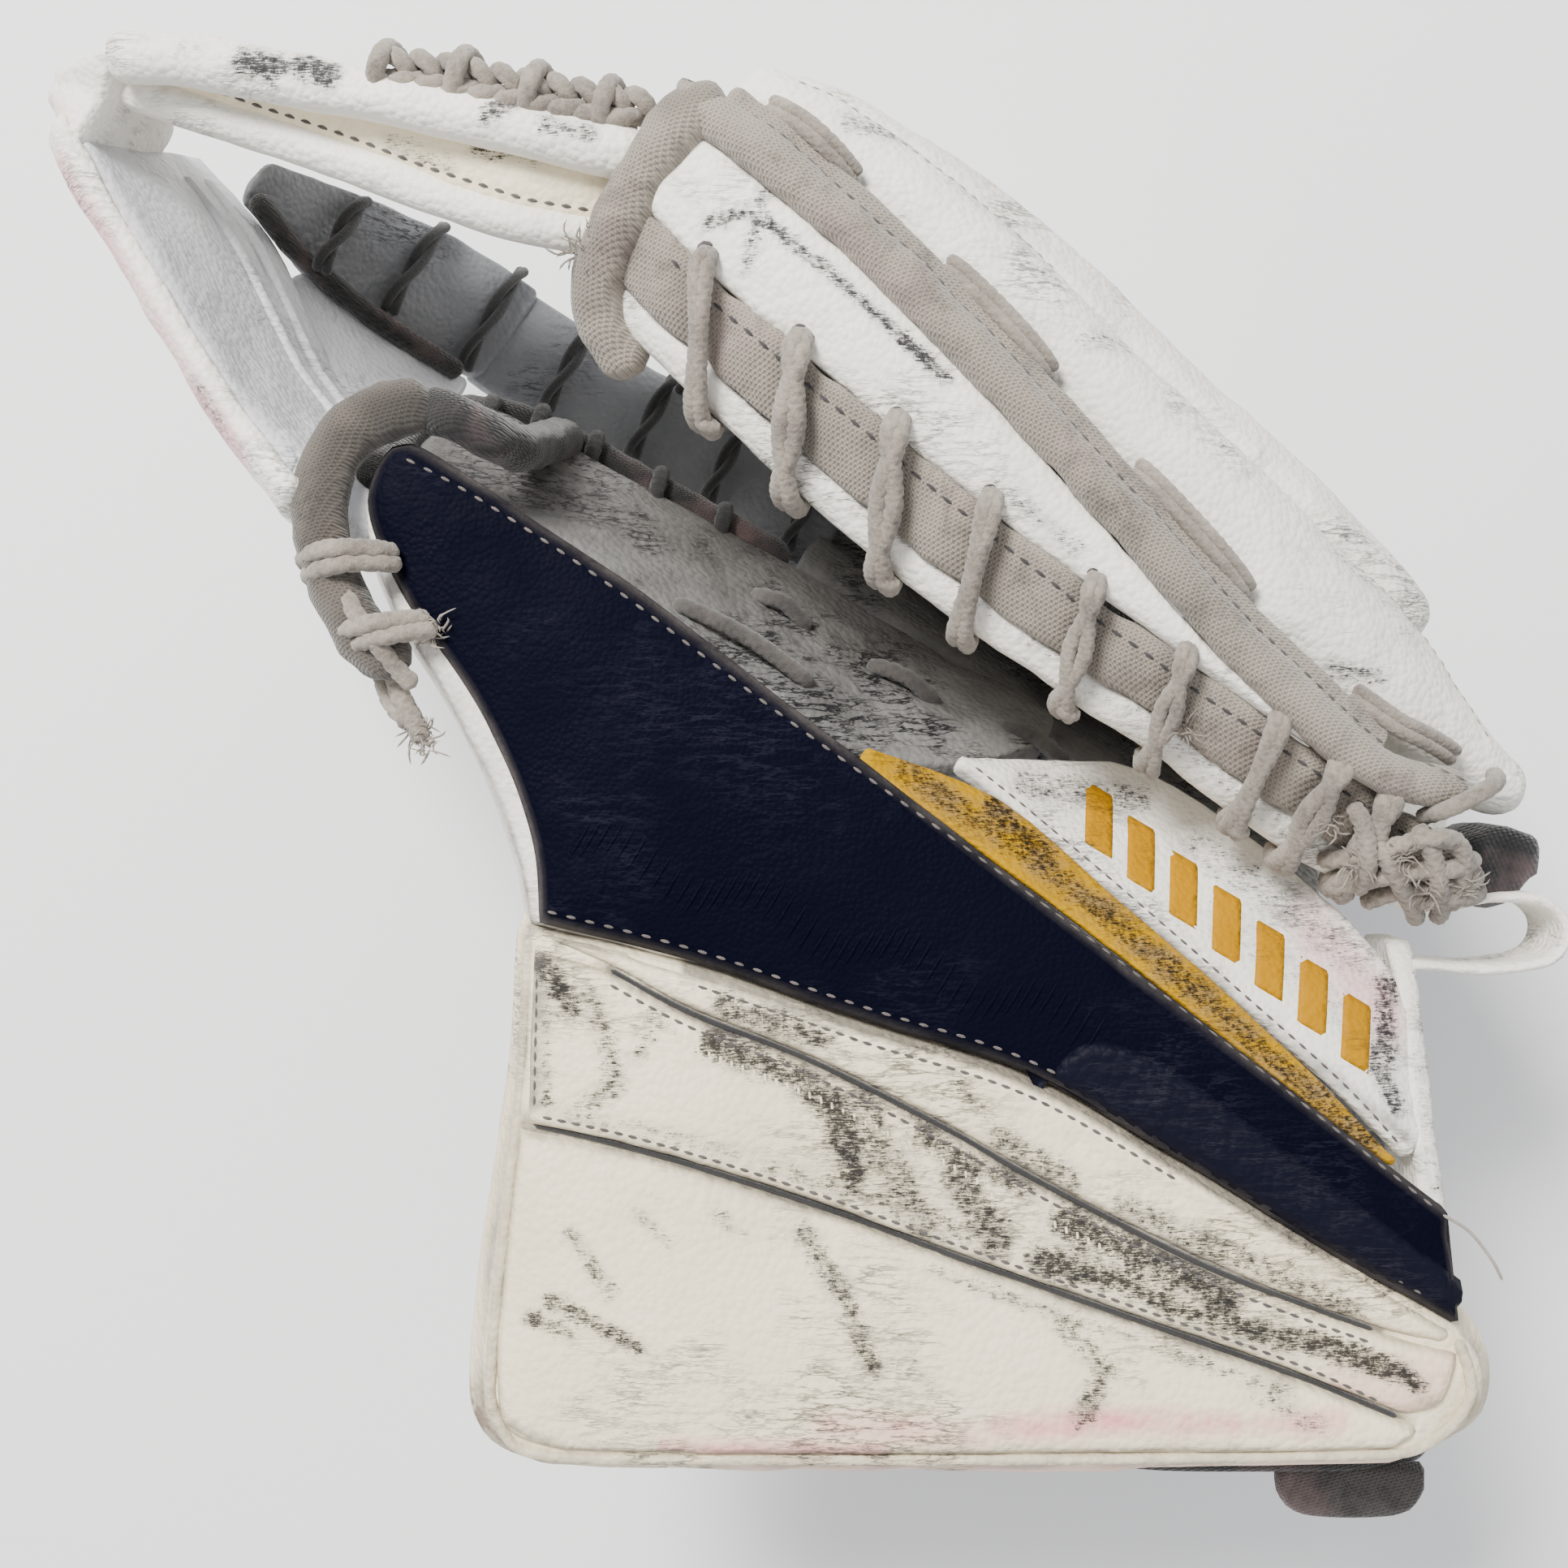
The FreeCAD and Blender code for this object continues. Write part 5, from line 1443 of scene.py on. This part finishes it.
def loop_places():
    """Where each lace loop crosses the twill strip: its low end and its high end."""
    low = [(178, 11.6), (154.6, 10.1), (129.6, 5.6), (109.3, 4.2), (83.1, 2.6), (61.3, 2.0), (38.1, 2.3),
           (24.5, -1.2), (9.7, 0.0)]
    lean = [(14, 32.2), (13, 33.3), (13, 28), (9.4, 24.8), (9, 22.4), (7.4, 20.9), (6.8, 19.7), (4.3, 15.7),
            (5.6, 16)]
    return [(a, (a[0] + b[0], b[1])) for a, b in zip(low, lean)]


def finger_lacing():
    """Loops over the twill strip, knots in them, long runs beside the roll, and the tied heel end."""
    strands = []
    for i, ((s0, _), (s1, _)) in enumerate(loop_places()):
        for side in (-1.5, 1.5):
            a, b = at_station(s0), at_station(s1)
            swing = 1.2 * math.sin(2.1 * i + side)
            points = [
                (s0 + side + 1, a.lip + 0.6, a.top - 7.5), (s0 + side, a.lip - 3.2, a.top - 3.6),
                (s0 + 0.22 * (s1 - s0) + 0.6 * side, a.lip - 1.6, a.top + 3.4),
                (s0 + 0.6 * (s1 - s0) - 0.7 * side + swing, (a.lip + b.strip) / 2 - 1.8,
                 (a.top + b.top) / 2 + 10.6),
                (s1 + 0.6 * side, b.strip - 1.4, b.top + 16.2),
                (s1 + 0.4 * side + 1, b.strip + 2.4, b.top + 14.6),
                (s1 + 0.3 * side + 1.4, b.strip + 4.2, b.top + 10.6),
            ]
            strands.append(tube("loop", points, 1.75 + 0.25 * math.sin(i), mouth, 12, 0.45, braid(3.0, 0.13)))
    for i, ((s0, _), _) in enumerate(loop_places()):
        a = at_station(s0)
        knot = [(s0 - 2.6, a.lip - 2.0, a.top - 0.6), (s0, a.lip - 3.6, a.top + 1.6),
                (s0 + 3, a.lip - 1.2, a.top + 1.8),
                (s0 + 2.4, a.lip - 2.8, a.top - 2.6), (s0 - 1, a.lip - 3.8, a.top - 3.2)]
        if i % 2 == 0:
            strands.append(tube("knot", knot, 1.5, mouth, 10, 0.5, braid(3.0, 0.13)))
    finish_piece(joined("edge_lace_loops", strands), "finger_side", LACE, ["edge_lace"])
    eyes = []
    for (s0, _), (s1, _) in loop_places():
        b = at_station(s1)
        eyes.append(tube("eye",
                         [(s1 + 1.6, b.strip + 3.4, b.top + 12.6), (s1 + 3.4, b.strip + 5.2, b.top + 13.4)],
                         1.9, mouth, 12, 0.5))
    finish_piece(joined("lace_holes", eyes), "finger_side", DARK_THREAD)
    runs = []
    for start, end in ((197, 178), (150, 124), (96, 66), (32, 8)):
        for side in (-1.1, 1.1):
            points = []
            for along, lift in ((start + 2, -3), (start - 2, 0), (start * 0.6 + end * 0.4, 1.6),
                                (start * 0.3 + end * 0.7, 1.6), (end + 2, 0), (end - 2, -3)):
                size = at_station(along)
                points.append((along, size.roll + 8.6 + side, size.top + 12.6 + lift))
            runs.append(tube("run", points, 1.35, mouth, 10, 0.5, braid(2.4, 0.15)))
    over = [(6, 20, 135), (5, 22.5, 144), (2, 28, 147.5), (-1, 33, 144), (-3, 36, 134)]
    runs.append(tube("run", over, 1.8, mouth, 12, 0.5, braid()))
    finish_piece(joined("roll_lace_runs", runs), "finger_side", LACE, ["roll_lace"])
    tangle = [
        [(18, 2, 128), (14, 5, 135), (8, 12, 140), (3, 17, 143), (-3, 19, 139)],
        [(12, -2, 126), (8, 3, 133), (2, 9, 137), (-5, 14, 138), (-9, 19, 134)],
        [(4, -1, 124), (1, 4, 130), (-4, 9, 134), (-10, 13, 133), (-13, 17, 129)],
        [(14, 12, 139), (8, 8, 138), (1, 5, 134), (-5, 3, 129), (-8, 2, 124)],
        [(8, 17, 142), (2, 14, 141), (-5, 9, 136), (-10, 6, 129), (-12, 5, 123)],
        [(0, 19, 141), (-5, 17, 139), (-9, 12, 134), (-12, 8, 127)],
        [(22, 14, 142), (17, 11, 141.6), (11, 5, 137.5), (8, 0, 130)],
        [(-3, 4, 131), (-8, 8, 133), (-14, 12, 130), (-16, 15, 124)],
    ]
    knots = joined("heel_lace_tangle",
                   [tube("knot", t, 1.9, mouth, 12, 0.45, braid(3.0, 0.14)) for t in tangle])
    finish_piece(knots, "finger_side", LACE)
    fuzz_places = [(6, 10, 141), (-4, 8, 136), (13, 4, 137), (-8, 12, 135), (215, 32, 155), (212, 40, 157),
                   (218, 28, 152),
                   (24, 8, 141), (61, 8, 147)]
    fluff = fray("finger_lace_fray", [mouth([p])[0] for p in fuzz_places], 22, 6.5)
    finish_piece(fluff, "finger_side", LACE)


# ---------------------------------------------------------------- T at the pocket's far corner

# Station: lower edge, upper edge of the finger leg.
T_LEG = np.array([(213, 32, 55.5), (233, 24, 48.5), (253, 19.5, 42), (273, 16, 35), (295, 11, 27),
                  (306, 8.5, 22.5), (319, 5.5, 15)])


def t_edges(along):
    """Lower and upper edge of the T's finger leg at a station."""
    return [float(np.interp(along, T_LEG[:, 0], T_LEG[:, k])) for k in (1, 2)]


def t_part():
    """The folding T: a finger leg with its rolls and laces, a thumb leg, and the corner between."""
    places = (214, 233, 253, 273, 295, 306, 318)

    def flat_section(along):
        low, high = t_edges(along)
        return [(low + 5.6, 150.6), (high - 3.5, 154), (high - 3.5, 142), (low + 4, 142)]

    flat = loft("t_finger_flat", {a: flat_section(a) for a in places}, 1.6, 1.2, (0.8, 0, 0, 0),
                [20, 6, 18, 6], cap=3)
    rumple(flat, 0.5, (22, 10, 10), 22)
    rumple(flat, 0.16, (7, 4, 4), 23)
    marks = [([(236, 40), (246, 36)], 4.0, 0.75), ([(262, 27), (250, 29)], 2.5, 0.6),
             ([(225, 46), (240, 41)], 3.0, 0.6)]
    paint_mouth(flat, "scuff", marks)
    finish_piece(flat, "t_finger_leg", CREAM, ["t_finger_slab"])
    lower_line = [(a, t_edges(a)[0] + 3.4, 147.6) for a in places]
    low_roll = tube("t_lower_roll_skin", lower_line, 4.2, mouth, 20, 1.3)
    rumple(low_roll, 0.35, (14, 6, 6), 24)
    finish_piece(low_roll, "t_finger_leg", WHITE, ["t_lower_roll"])
    row = stitches("t_stitches", mouth_plan([(a, t_edges(a)[0] + 7.3) for a in places]), [flat, low_roll],
                   3.6, 2.7, 0.42)
    finish_piece(row, "t_finger_leg", GREY_THREAD)
    upper_line = [(a, t_edges(a)[1] - 4.6, 156.5 + 0.02 * (a - 219)) for a in places]
    up_roll = tube("t_upper_roll_skin", upper_line, 5.2, mouth, 22, 1.3)
    rumple(up_roll, 0.5, (15, 8, 8), 25)
    paint_mouth(up_roll, "scuff", [
        ([(291, 24), (286, 26)], 3.6, 1.0), ([(281, 29), (276, 30)], 3.6, 1.0),
        ([(245, 40), (243, 44)], 2.6, 0.9), ([(234, 44), (226, 47)], 2.6, 0.8),
        ([(300, 22), (303, 20)], 2.0, 0.6),
    ])
    finish_piece(up_roll, "t_finger_leg", WHITE, ["t_upper_roll"])
    outer = loft(
        "t_outer_skin",
        {
            233: slab([(46, 150), (50.5, 96)], (6, 0)),
            250: slab([(40, 150), (44.5, 96)], (6, 0)),
            286: slab([(28, 150), (34.5, 96)], (6, 0)),
            314: slab([(16.5, 150), (23, 102)], (4, 0)),
        },
        2.0, 2.0, (0, 0, 1.2, 0), [26, 4, 26, 4], cap=2.5,
    )
    rumple(outer, 0.6, (20, 10, 10), 26)
    finish_piece(outer, "t_finger_leg", WHITE, ["t_finger_wall"])
    rows = []
    skin = BVHTree.FromObject(outer, bpy.context.evaluated_depsgraph_get())
    for level in (146.0, 104.0, 108.0):
        share = (150 - level) / 54
        line = []
        for a in range(236, 313, 4):
            top = np.interp(a, (233, 250, 286, 314), (46, 40, 28, 16.5))
            foot = np.interp(a, (233, 250, 286, 314), (50.5, 44.5, 34.5, 23))
            thick = np.interp(a, (233, 286, 314), (6, 6, 4))
            line.append((a, top + (foot - top) * share + thick + 0.5, level))
        nearest = [skin.find_nearest(Vector(point) * MM)[0] for point in resample(mouth(line), 0.5)]
        rows.append(beads("row", resample(np.array(nearest) / MM, 0.5), 3.8, 2.8, 0.42))
    finish_piece(joined("t_outer_stitches", rows), "t_finger_leg", GREY_THREAD)
    band = loft(
        "t_thumb_skin",
        {
            246: [(-46.5, 146), (-42, 151.5), (-37, 150), (-23, 90), (-32, 90), (-44, 132)],
            266: [(-39.5, 146), (-36, 152.5), (-30.5, 150.5), (-15.5, 90), (-24.5, 90), (-37, 132)],
            295: [(-24.2, 146), (-20.5, 152.5), (-15, 150.5), (4, 92), (-5, 92), (-21, 132)],
            316: [(-13, 146), (-9.5, 152.5), (-4, 150.5), (11, 100), (2, 100), (-10, 132)],
        },
        2.0, 2.0, (0, 0.4, 0, 0, 0, 1.0), [5, 5, 30, 5, 22, 8], cap=3,
    )
    rumple(band, 0.7, (22, 12, 14), 27)
    rumple(band, 0.2, (7, 5, 6), 28)
    paint_mouth(band, "pink", [([(260, -41), (280, -33), (310, -15)], 5.0, 0.4)])
    finish_piece(band, "t_thumb_leg", SHADED_INNER_WHITE, ["t_thumb_band"])
    cover = loft(
        "t_thumb_outer_skin",
        {
            a: [(t - 3.2, 112), (t - 2.6, 148), (t + 1.6, 154.4), (t + 5.6, 152.6), (t + 3, 147),
                (t + 0.6, 112)]
            for a, t in ((244, -46.6), (266, -37.6), (295, -22.4), (316, -11.2), (322, -7))
        },
        2.0, 1.8, (1.0, 0.5, 0.4, 0, 0, 0), [16, 5, 4, 5, 14, 4], cap=3,
    )
    rumple(cover, 0.6, (18, 10, 14), 29)
    paint_mouth(cover, "pink", [([(258, -44), (285, -31), (318, -13)], 4.0, 0.75)])
    paint_mouth(cover, "scuff", [([(262, -40), (272, -35)], 2.4, 0.6)])
    finish_piece(cover, "t_thumb_leg", WHITE, ["t_thumb_piping"])
    faces = np.array([(246, -37, 150, -23, 90), (266, -30.5, 150.5, -15.5, 90), (295, -15, 150.5, 4, 92),
                      (316, -4, 150.5, 11, 100)])
    pipes = []
    for share in (0.62, 0.8):
        points = []
        for along in (252, 266, 280, 295, 310):
            t0, z0, t1, z1 = (np.interp(along, faces[:, 0], faces[:, k]) for k in (1, 2, 3, 4))
            points.append((along, t0 + (t1 - t0) * share + 0.4, z0 + (z1 - z0) * share))
        pipes.append(tube("pipe", points, 1.3, mouth, 10, 0.9))
    finish_piece(joined("t_piping_ridges", pipes), "t_thumb_leg", SHADED_INNER_WHITE)
    lower = loft(
        "t_pocket_side_skin",
        {
            250: slab([(-25, 89.5), (3.4, 53)], (-2, -2.4)),
            268: slab([(-14.6, 89.5), (2.6, 62)], (-2, -2.4)),
            288: slab([(-2, 91), (3.4, 81)], (-2, -2.4)),
        },
        1.6, 1.4, (-1.5, 0, 0, 0), [20, 3, 20, 3],
    )
    rumple(lower, 0.7, (12, 9, 9), 33)
    finish_piece(lower, "t_thumb_leg", SHADED_INNER_WHITE, ["t_pocket_side"])
    seam_points = [(250, 3.6, 57), (260, 3.2, 61), (270, 3, 67), (280, 3.4, 77), (290, 5, 88), (300, 9, 104)]
    tape = tube("t_spine_tape", seam_points, 2.6, mouth, 12, 0.9)
    rumple(tape, 0.4, 6, 34)
    finish_piece(tape, "t_thumb_leg", DARK_TWILL)
    corner = loft(
        "t_corner_skin",
        {
            318: [(-9.4, 116), (-9, 146), (-5, 153), (4, 153), (13, 158.4), (15.4, 148), (12, 116)],
            323: [(-6.4, 118), (-6, 146), (-2.8, 152), (4, 152.4), (10, 156.4), (12.4, 148), (8.4, 118)],
            328: [(-2, 123), (-1.8, 143), (-0.4, 148), (2.8, 149), (6, 151), (7, 145), (4.6, 123)],
        },
        1.3, 2.6, (0.6, 0.6, 0.6, 0.6, 0.6, 0.6, 0), [14, 5, 10, 8, 6, 14, 14], cap=2.5,
    )
    rumple(corner, 0.6, (7, 9, 9), 30)
    paint_mouth(corner, "pink", [([(318, -12), (326, -4)], 4.0, 0.4)])
    finish_bend(corner, "t_thumb_leg", "t_finger_leg", "white_leather", WHITE, [318, -9, 145], [318, 9, 145])
    root = loft(
        "t_thumb_root_skin",
        {
            228: [(-50, 122), (-49, 138), (-43, 143), (-35, 141), (-24, 112), (-30, 108)],
            240: [(-50, 122), (-49.5, 142), (-44, 150), (-37, 148), (-25, 100), (-32, 98)],
            252: [(-47, 122), (-46, 144), (-41, 151.6), (-35, 149), (-22, 92), (-30, 91)],
        },
        1.6, 2.0, 0.3, [8, 5, 5, 22, 4, 16], cap=3,
    )
    rumple(root, 0.7, (9, 9, 12), 31)
    places = [232, -38, 145], [250, -38, 145]
    finish_bend(root, "thumb_side", "t_thumb_leg", "white_leather", SHADED_INNER_WHITE, *places)
    outer_knots()


def outer_knots():
    """The braided lacing along the outer edge of the T."""
    line = [(268, 37.4), (258, 42), (246, 46.5), (233, 51.5), (219, 57)]
    strands = []
    for twist in (0.0, 2.1, 4.2):
        path = resample(spline(np.column_stack([np.array(line, float), np.zeros(len(line))]), 1.0), 1.2)
        points = []
        for i, (a, t, _) in enumerate(path):
            turn = 0.46 * i + twist
            points.append((a + 1.2 * math.cos(2 * turn), t + 3.3 * math.cos(turn),
                           157.5 + 3.0 * math.sin(2 * turn)))
        strands.append(tube("strand", points, 1.75, mouth, 12, 0.5, braid()))
    for a, t in ((268, 37), (254, 44), (240, 49), (226, 54)):
        ring = [(a - 1, t - 4, 153), (a, t - 3, 160), (a + 1, t + 1, 162.4), (a + 2, t + 5, 158),
                (a + 1.6, t + 6, 150)]
        strands.append(tube("wrap", ring, 1.9, mouth, 12, 0.5, braid()))
    finish_piece(joined("t_outer_braid", strands), "t_finger_leg", LACE, ["t_outer_lace"])


# ---------------------------------------------------------------- hand side, seen from below


def sock(name, low, high, wall, axis, frame_of, closed=False, seed=40, waves=0.9):
    """A soft sleeve with rounded corners, open at its ends, or closed at its high end."""
    low, high = np.array(low, float), np.array(high, float)
    others = [k for k in range(3) if k != axis]
    around = 72
    angle = np.linspace(0, 2 * math.pi, around, endpoint=False)
    square = 4.0
    shape = (np.abs(np.cos(angle)) ** square + np.abs(np.sin(angle)) ** square) ** (-1 / square)
    middle, half = (low + high) / 2, (high - low) / 2
    rows = []
    places = np.arange(low[axis], high[axis] + 1.5, 3.0)
    lines = [(place, 0.0) for place in places] + [(place, wall) for place in places[::-1]]
    for place, inset in lines:
        ring = np.zeros((around, 3))
        ring[:, axis] = np.clip(place, low[axis] + inset * 0.3, high[axis] - inset * 0.3)
        for k, wave in zip(others, (np.cos(angle), np.sin(angle))):
            ring[:, k] = middle[k] + wave * shape * (half[k] - inset)
        rows.append(ring)
    points = np.vstack(rows)
    faces = ring_faces(len(rows), around)
    last = (len(rows) - 1) * around
    faces += [(last + i, last + (i + 1) % around, (i + 1) % around, i) for i in range(around)]
    if closed:
        mid = (len(places) - 1) * around
        inner = len(places) * around
        faces = [f for f in faces if not (min(f) >= mid and max(f) < inner + around)]
        faces += [tuple(range(mid, mid + around)), tuple(range(inner, inner + around))[::-1]]
    obj = new_mesh(name, frame_of(points), faces, points[:, :2])
    fix_normals(obj)
    rumple(obj, waves, 13, seed)
    return obj


def hand_part():
    """The wrist sleeve and its binding, the thumb stall, the pads that the hand lies on, and the wrist tab."""
    wrist = sock("wrist_soft_sleeve", (62.6, -153.6, 24.6), (152.4, -78.4, 111.4), 3.4, 1, board)
    finish_piece(wrist, "thumb_side", MESH, ["wrist_sleeve"])
    cuff = tube("wrist_sleeve_binding", rounded_loop((64, 25.5), (151, 110.5), -153.4), 2.2, board, 10, 1.2)
    finish_piece(cuff, "thumb_side", DARK_TWILL)
    stall = sock("thumb_soft_stall", (100.4, -63.6, 91.4), (184.6, -40.4, 117.6), 2.4, 0, mouth, True, 41,
                 0.5)
    finish_piece(stall, "thumb_side", LINER, ["thumb_stall"])
    rest = outline([(37, -103)], [(133, -103), (134.5, -55), (133, -7)], [(37, -7), (35.5, -55)])
    back = plate("back_of_hand_soft_pad", rest, 19.6, 0.8, 9.0, 3.6, 1.0)
    puffed(back, 4.0, 1.5, 5.0)
    rumple(back, 0.5, 22, 42)
    finish_piece(back, "thumb_side", LINER, ["back_of_hand_pad"])
    palm_rim = resample(mouth_plan([(67, -11.5), (149, -11.5), (149, 15.5), (67, 15.5)]), 2.0, closed=True)
    palm = plate("palm_back_soft_pad", palm_rim, 25.6, 0.8, 7.0, 3.0, 0.8)
    puffed(palm, 4.0, 1.5, 4.5)
    rumple(palm, 0.4, 18, 43)
    finish_piece(palm, "thumb_side", PALM, ["palm_back_pad"])
    tab_rim = outline([(112, -160), (118, -165.5), (139, -165.5), (145, -160)], [(145, -154.3)],
                      [(112, -154.3)])
    tab = plate("wrist_soft_tab", tab_rim, 111.4, 107.8, 1.4, 1.6, 0.4)
    finish_piece(tab, "thumb_side", DIRTY_TAB, ["wrist_tab"])


def rounded_loop(low, high, y):
    """A rounded upright rectangle, round a sleeve's end."""
    points = []
    for k in range(64):
        a = 2 * math.pi * k / 64
        grow = (abs(math.cos(a)) ** 4 + abs(math.sin(a)) ** 4) ** -0.25
        points.append(((low[0] + high[0]) / 2 + math.cos(a) * grow * (high[0] - low[0]) / 2, y,
                       (low[1] + high[1]) / 2 + math.sin(a) * grow * (high[1] - low[1]) / 2))
    return points + points[:1]


def dress_cad():
    """Procedural materials for the CAD nodes that stay."""
    looks = {
        "plate": SHELL, "foam": FOAM, "liner": LINER, "lining": LINER, "strap": WEBBING, "hook": HOOKS,
        "loop": HOOKS,
    }
    for name, obj in frame["nodes"].items():
        for key, look in looks.items():
            if key in name:
                for place in obj.material_slots:
                    place.material = look


# ---------------------------------------------------------------- scene


FLOOR_DROP = 0.0015  # metres from the CAD model's lowest point down to the floor
FLOOR_HALF = 3.0
CAMERA_HEIGHT = 0.533
AIM = Vector((0, 0, 0.08))  # the middle of the glove, where the lamps look


def light(name, place, size, power, tint):
    """A soft square lamp that looks at the glove."""
    lamp = bpy.data.lights.new(name, "AREA")
    lamp.size = size
    lamp.energy = power
    lamp.color = tint
    obj = bpy.data.objects.new(name, lamp)
    obj.location = place
    obj.rotation_euler = (AIM - Vector(place)).to_track_quat("-Z", "Y").to_euler()
    bpy.context.scene.collection.objects.link(obj)


def studio():
    """A pale floor, soft light from above and the camera straight above the glove."""
    floor = bpy.data.meshes.new("studio_floor")
    z = cad_box[0][2] - FLOOR_DROP
    corners = ((-1, -1), (1, -1), (1, 1), (-1, 1))
    floor.from_pydata([(x * FLOOR_HALF, y * FLOOR_HALF, z) for x, y in corners], [], [(0, 1, 2, 3)])
    obj = bpy.data.objects.new("studio_floor", floor)
    bpy.context.scene.collection.objects.link(obj)
    n = Nodes("floor_look", 0.85)
    color = n.mix(n.noise(3.0, 2), (0.93, 0.93, 0.93), (0.96, 0.96, 0.96))
    floor.materials.append(n.done(color, n.noise(200, 2), 0.05, 0.0005))
    light("key", (-0.55, 0.75, 1.25), 0.42, 43.0, (1.0, 0.985, 0.95))
    light("fill", (0.95, -0.3, 1.0), 0.9, 3.6, (0.95, 0.97, 1.0))
    light("low_fill", (-0.2, -1.1, 0.8), 0.9, 4.4, (1.0, 0.97, 0.93))
    world = bpy.data.worlds.new("studio_air")
    world.use_nodes = True
    air = world.node_tree.nodes["Background"]
    air.inputs["Color"].default_value = (0.93, 0.95, 1.0, 1)
    air.inputs["Strength"].default_value = 0.72
    bpy.context.scene.world = world
    camera = bpy.data.cameras.new("camera")
    camera.sensor_width = 36.0
    camera.lens = 42.86
    eye = bpy.data.objects.new("camera", camera)
    eye.location = (BOARD_ORIGIN[0] * MM, BOARD_ORIGIN[1] * MM, CAMERA_HEIGHT)
    bpy.context.scene.collection.objects.link(eye)
    bpy.context.scene.camera = eye


studio()
dress_cad()
thumb_half()
cuff_half()
thumb_trim()
heel_part()
pocket_part()
finger_half()
t_part()
hand_part()
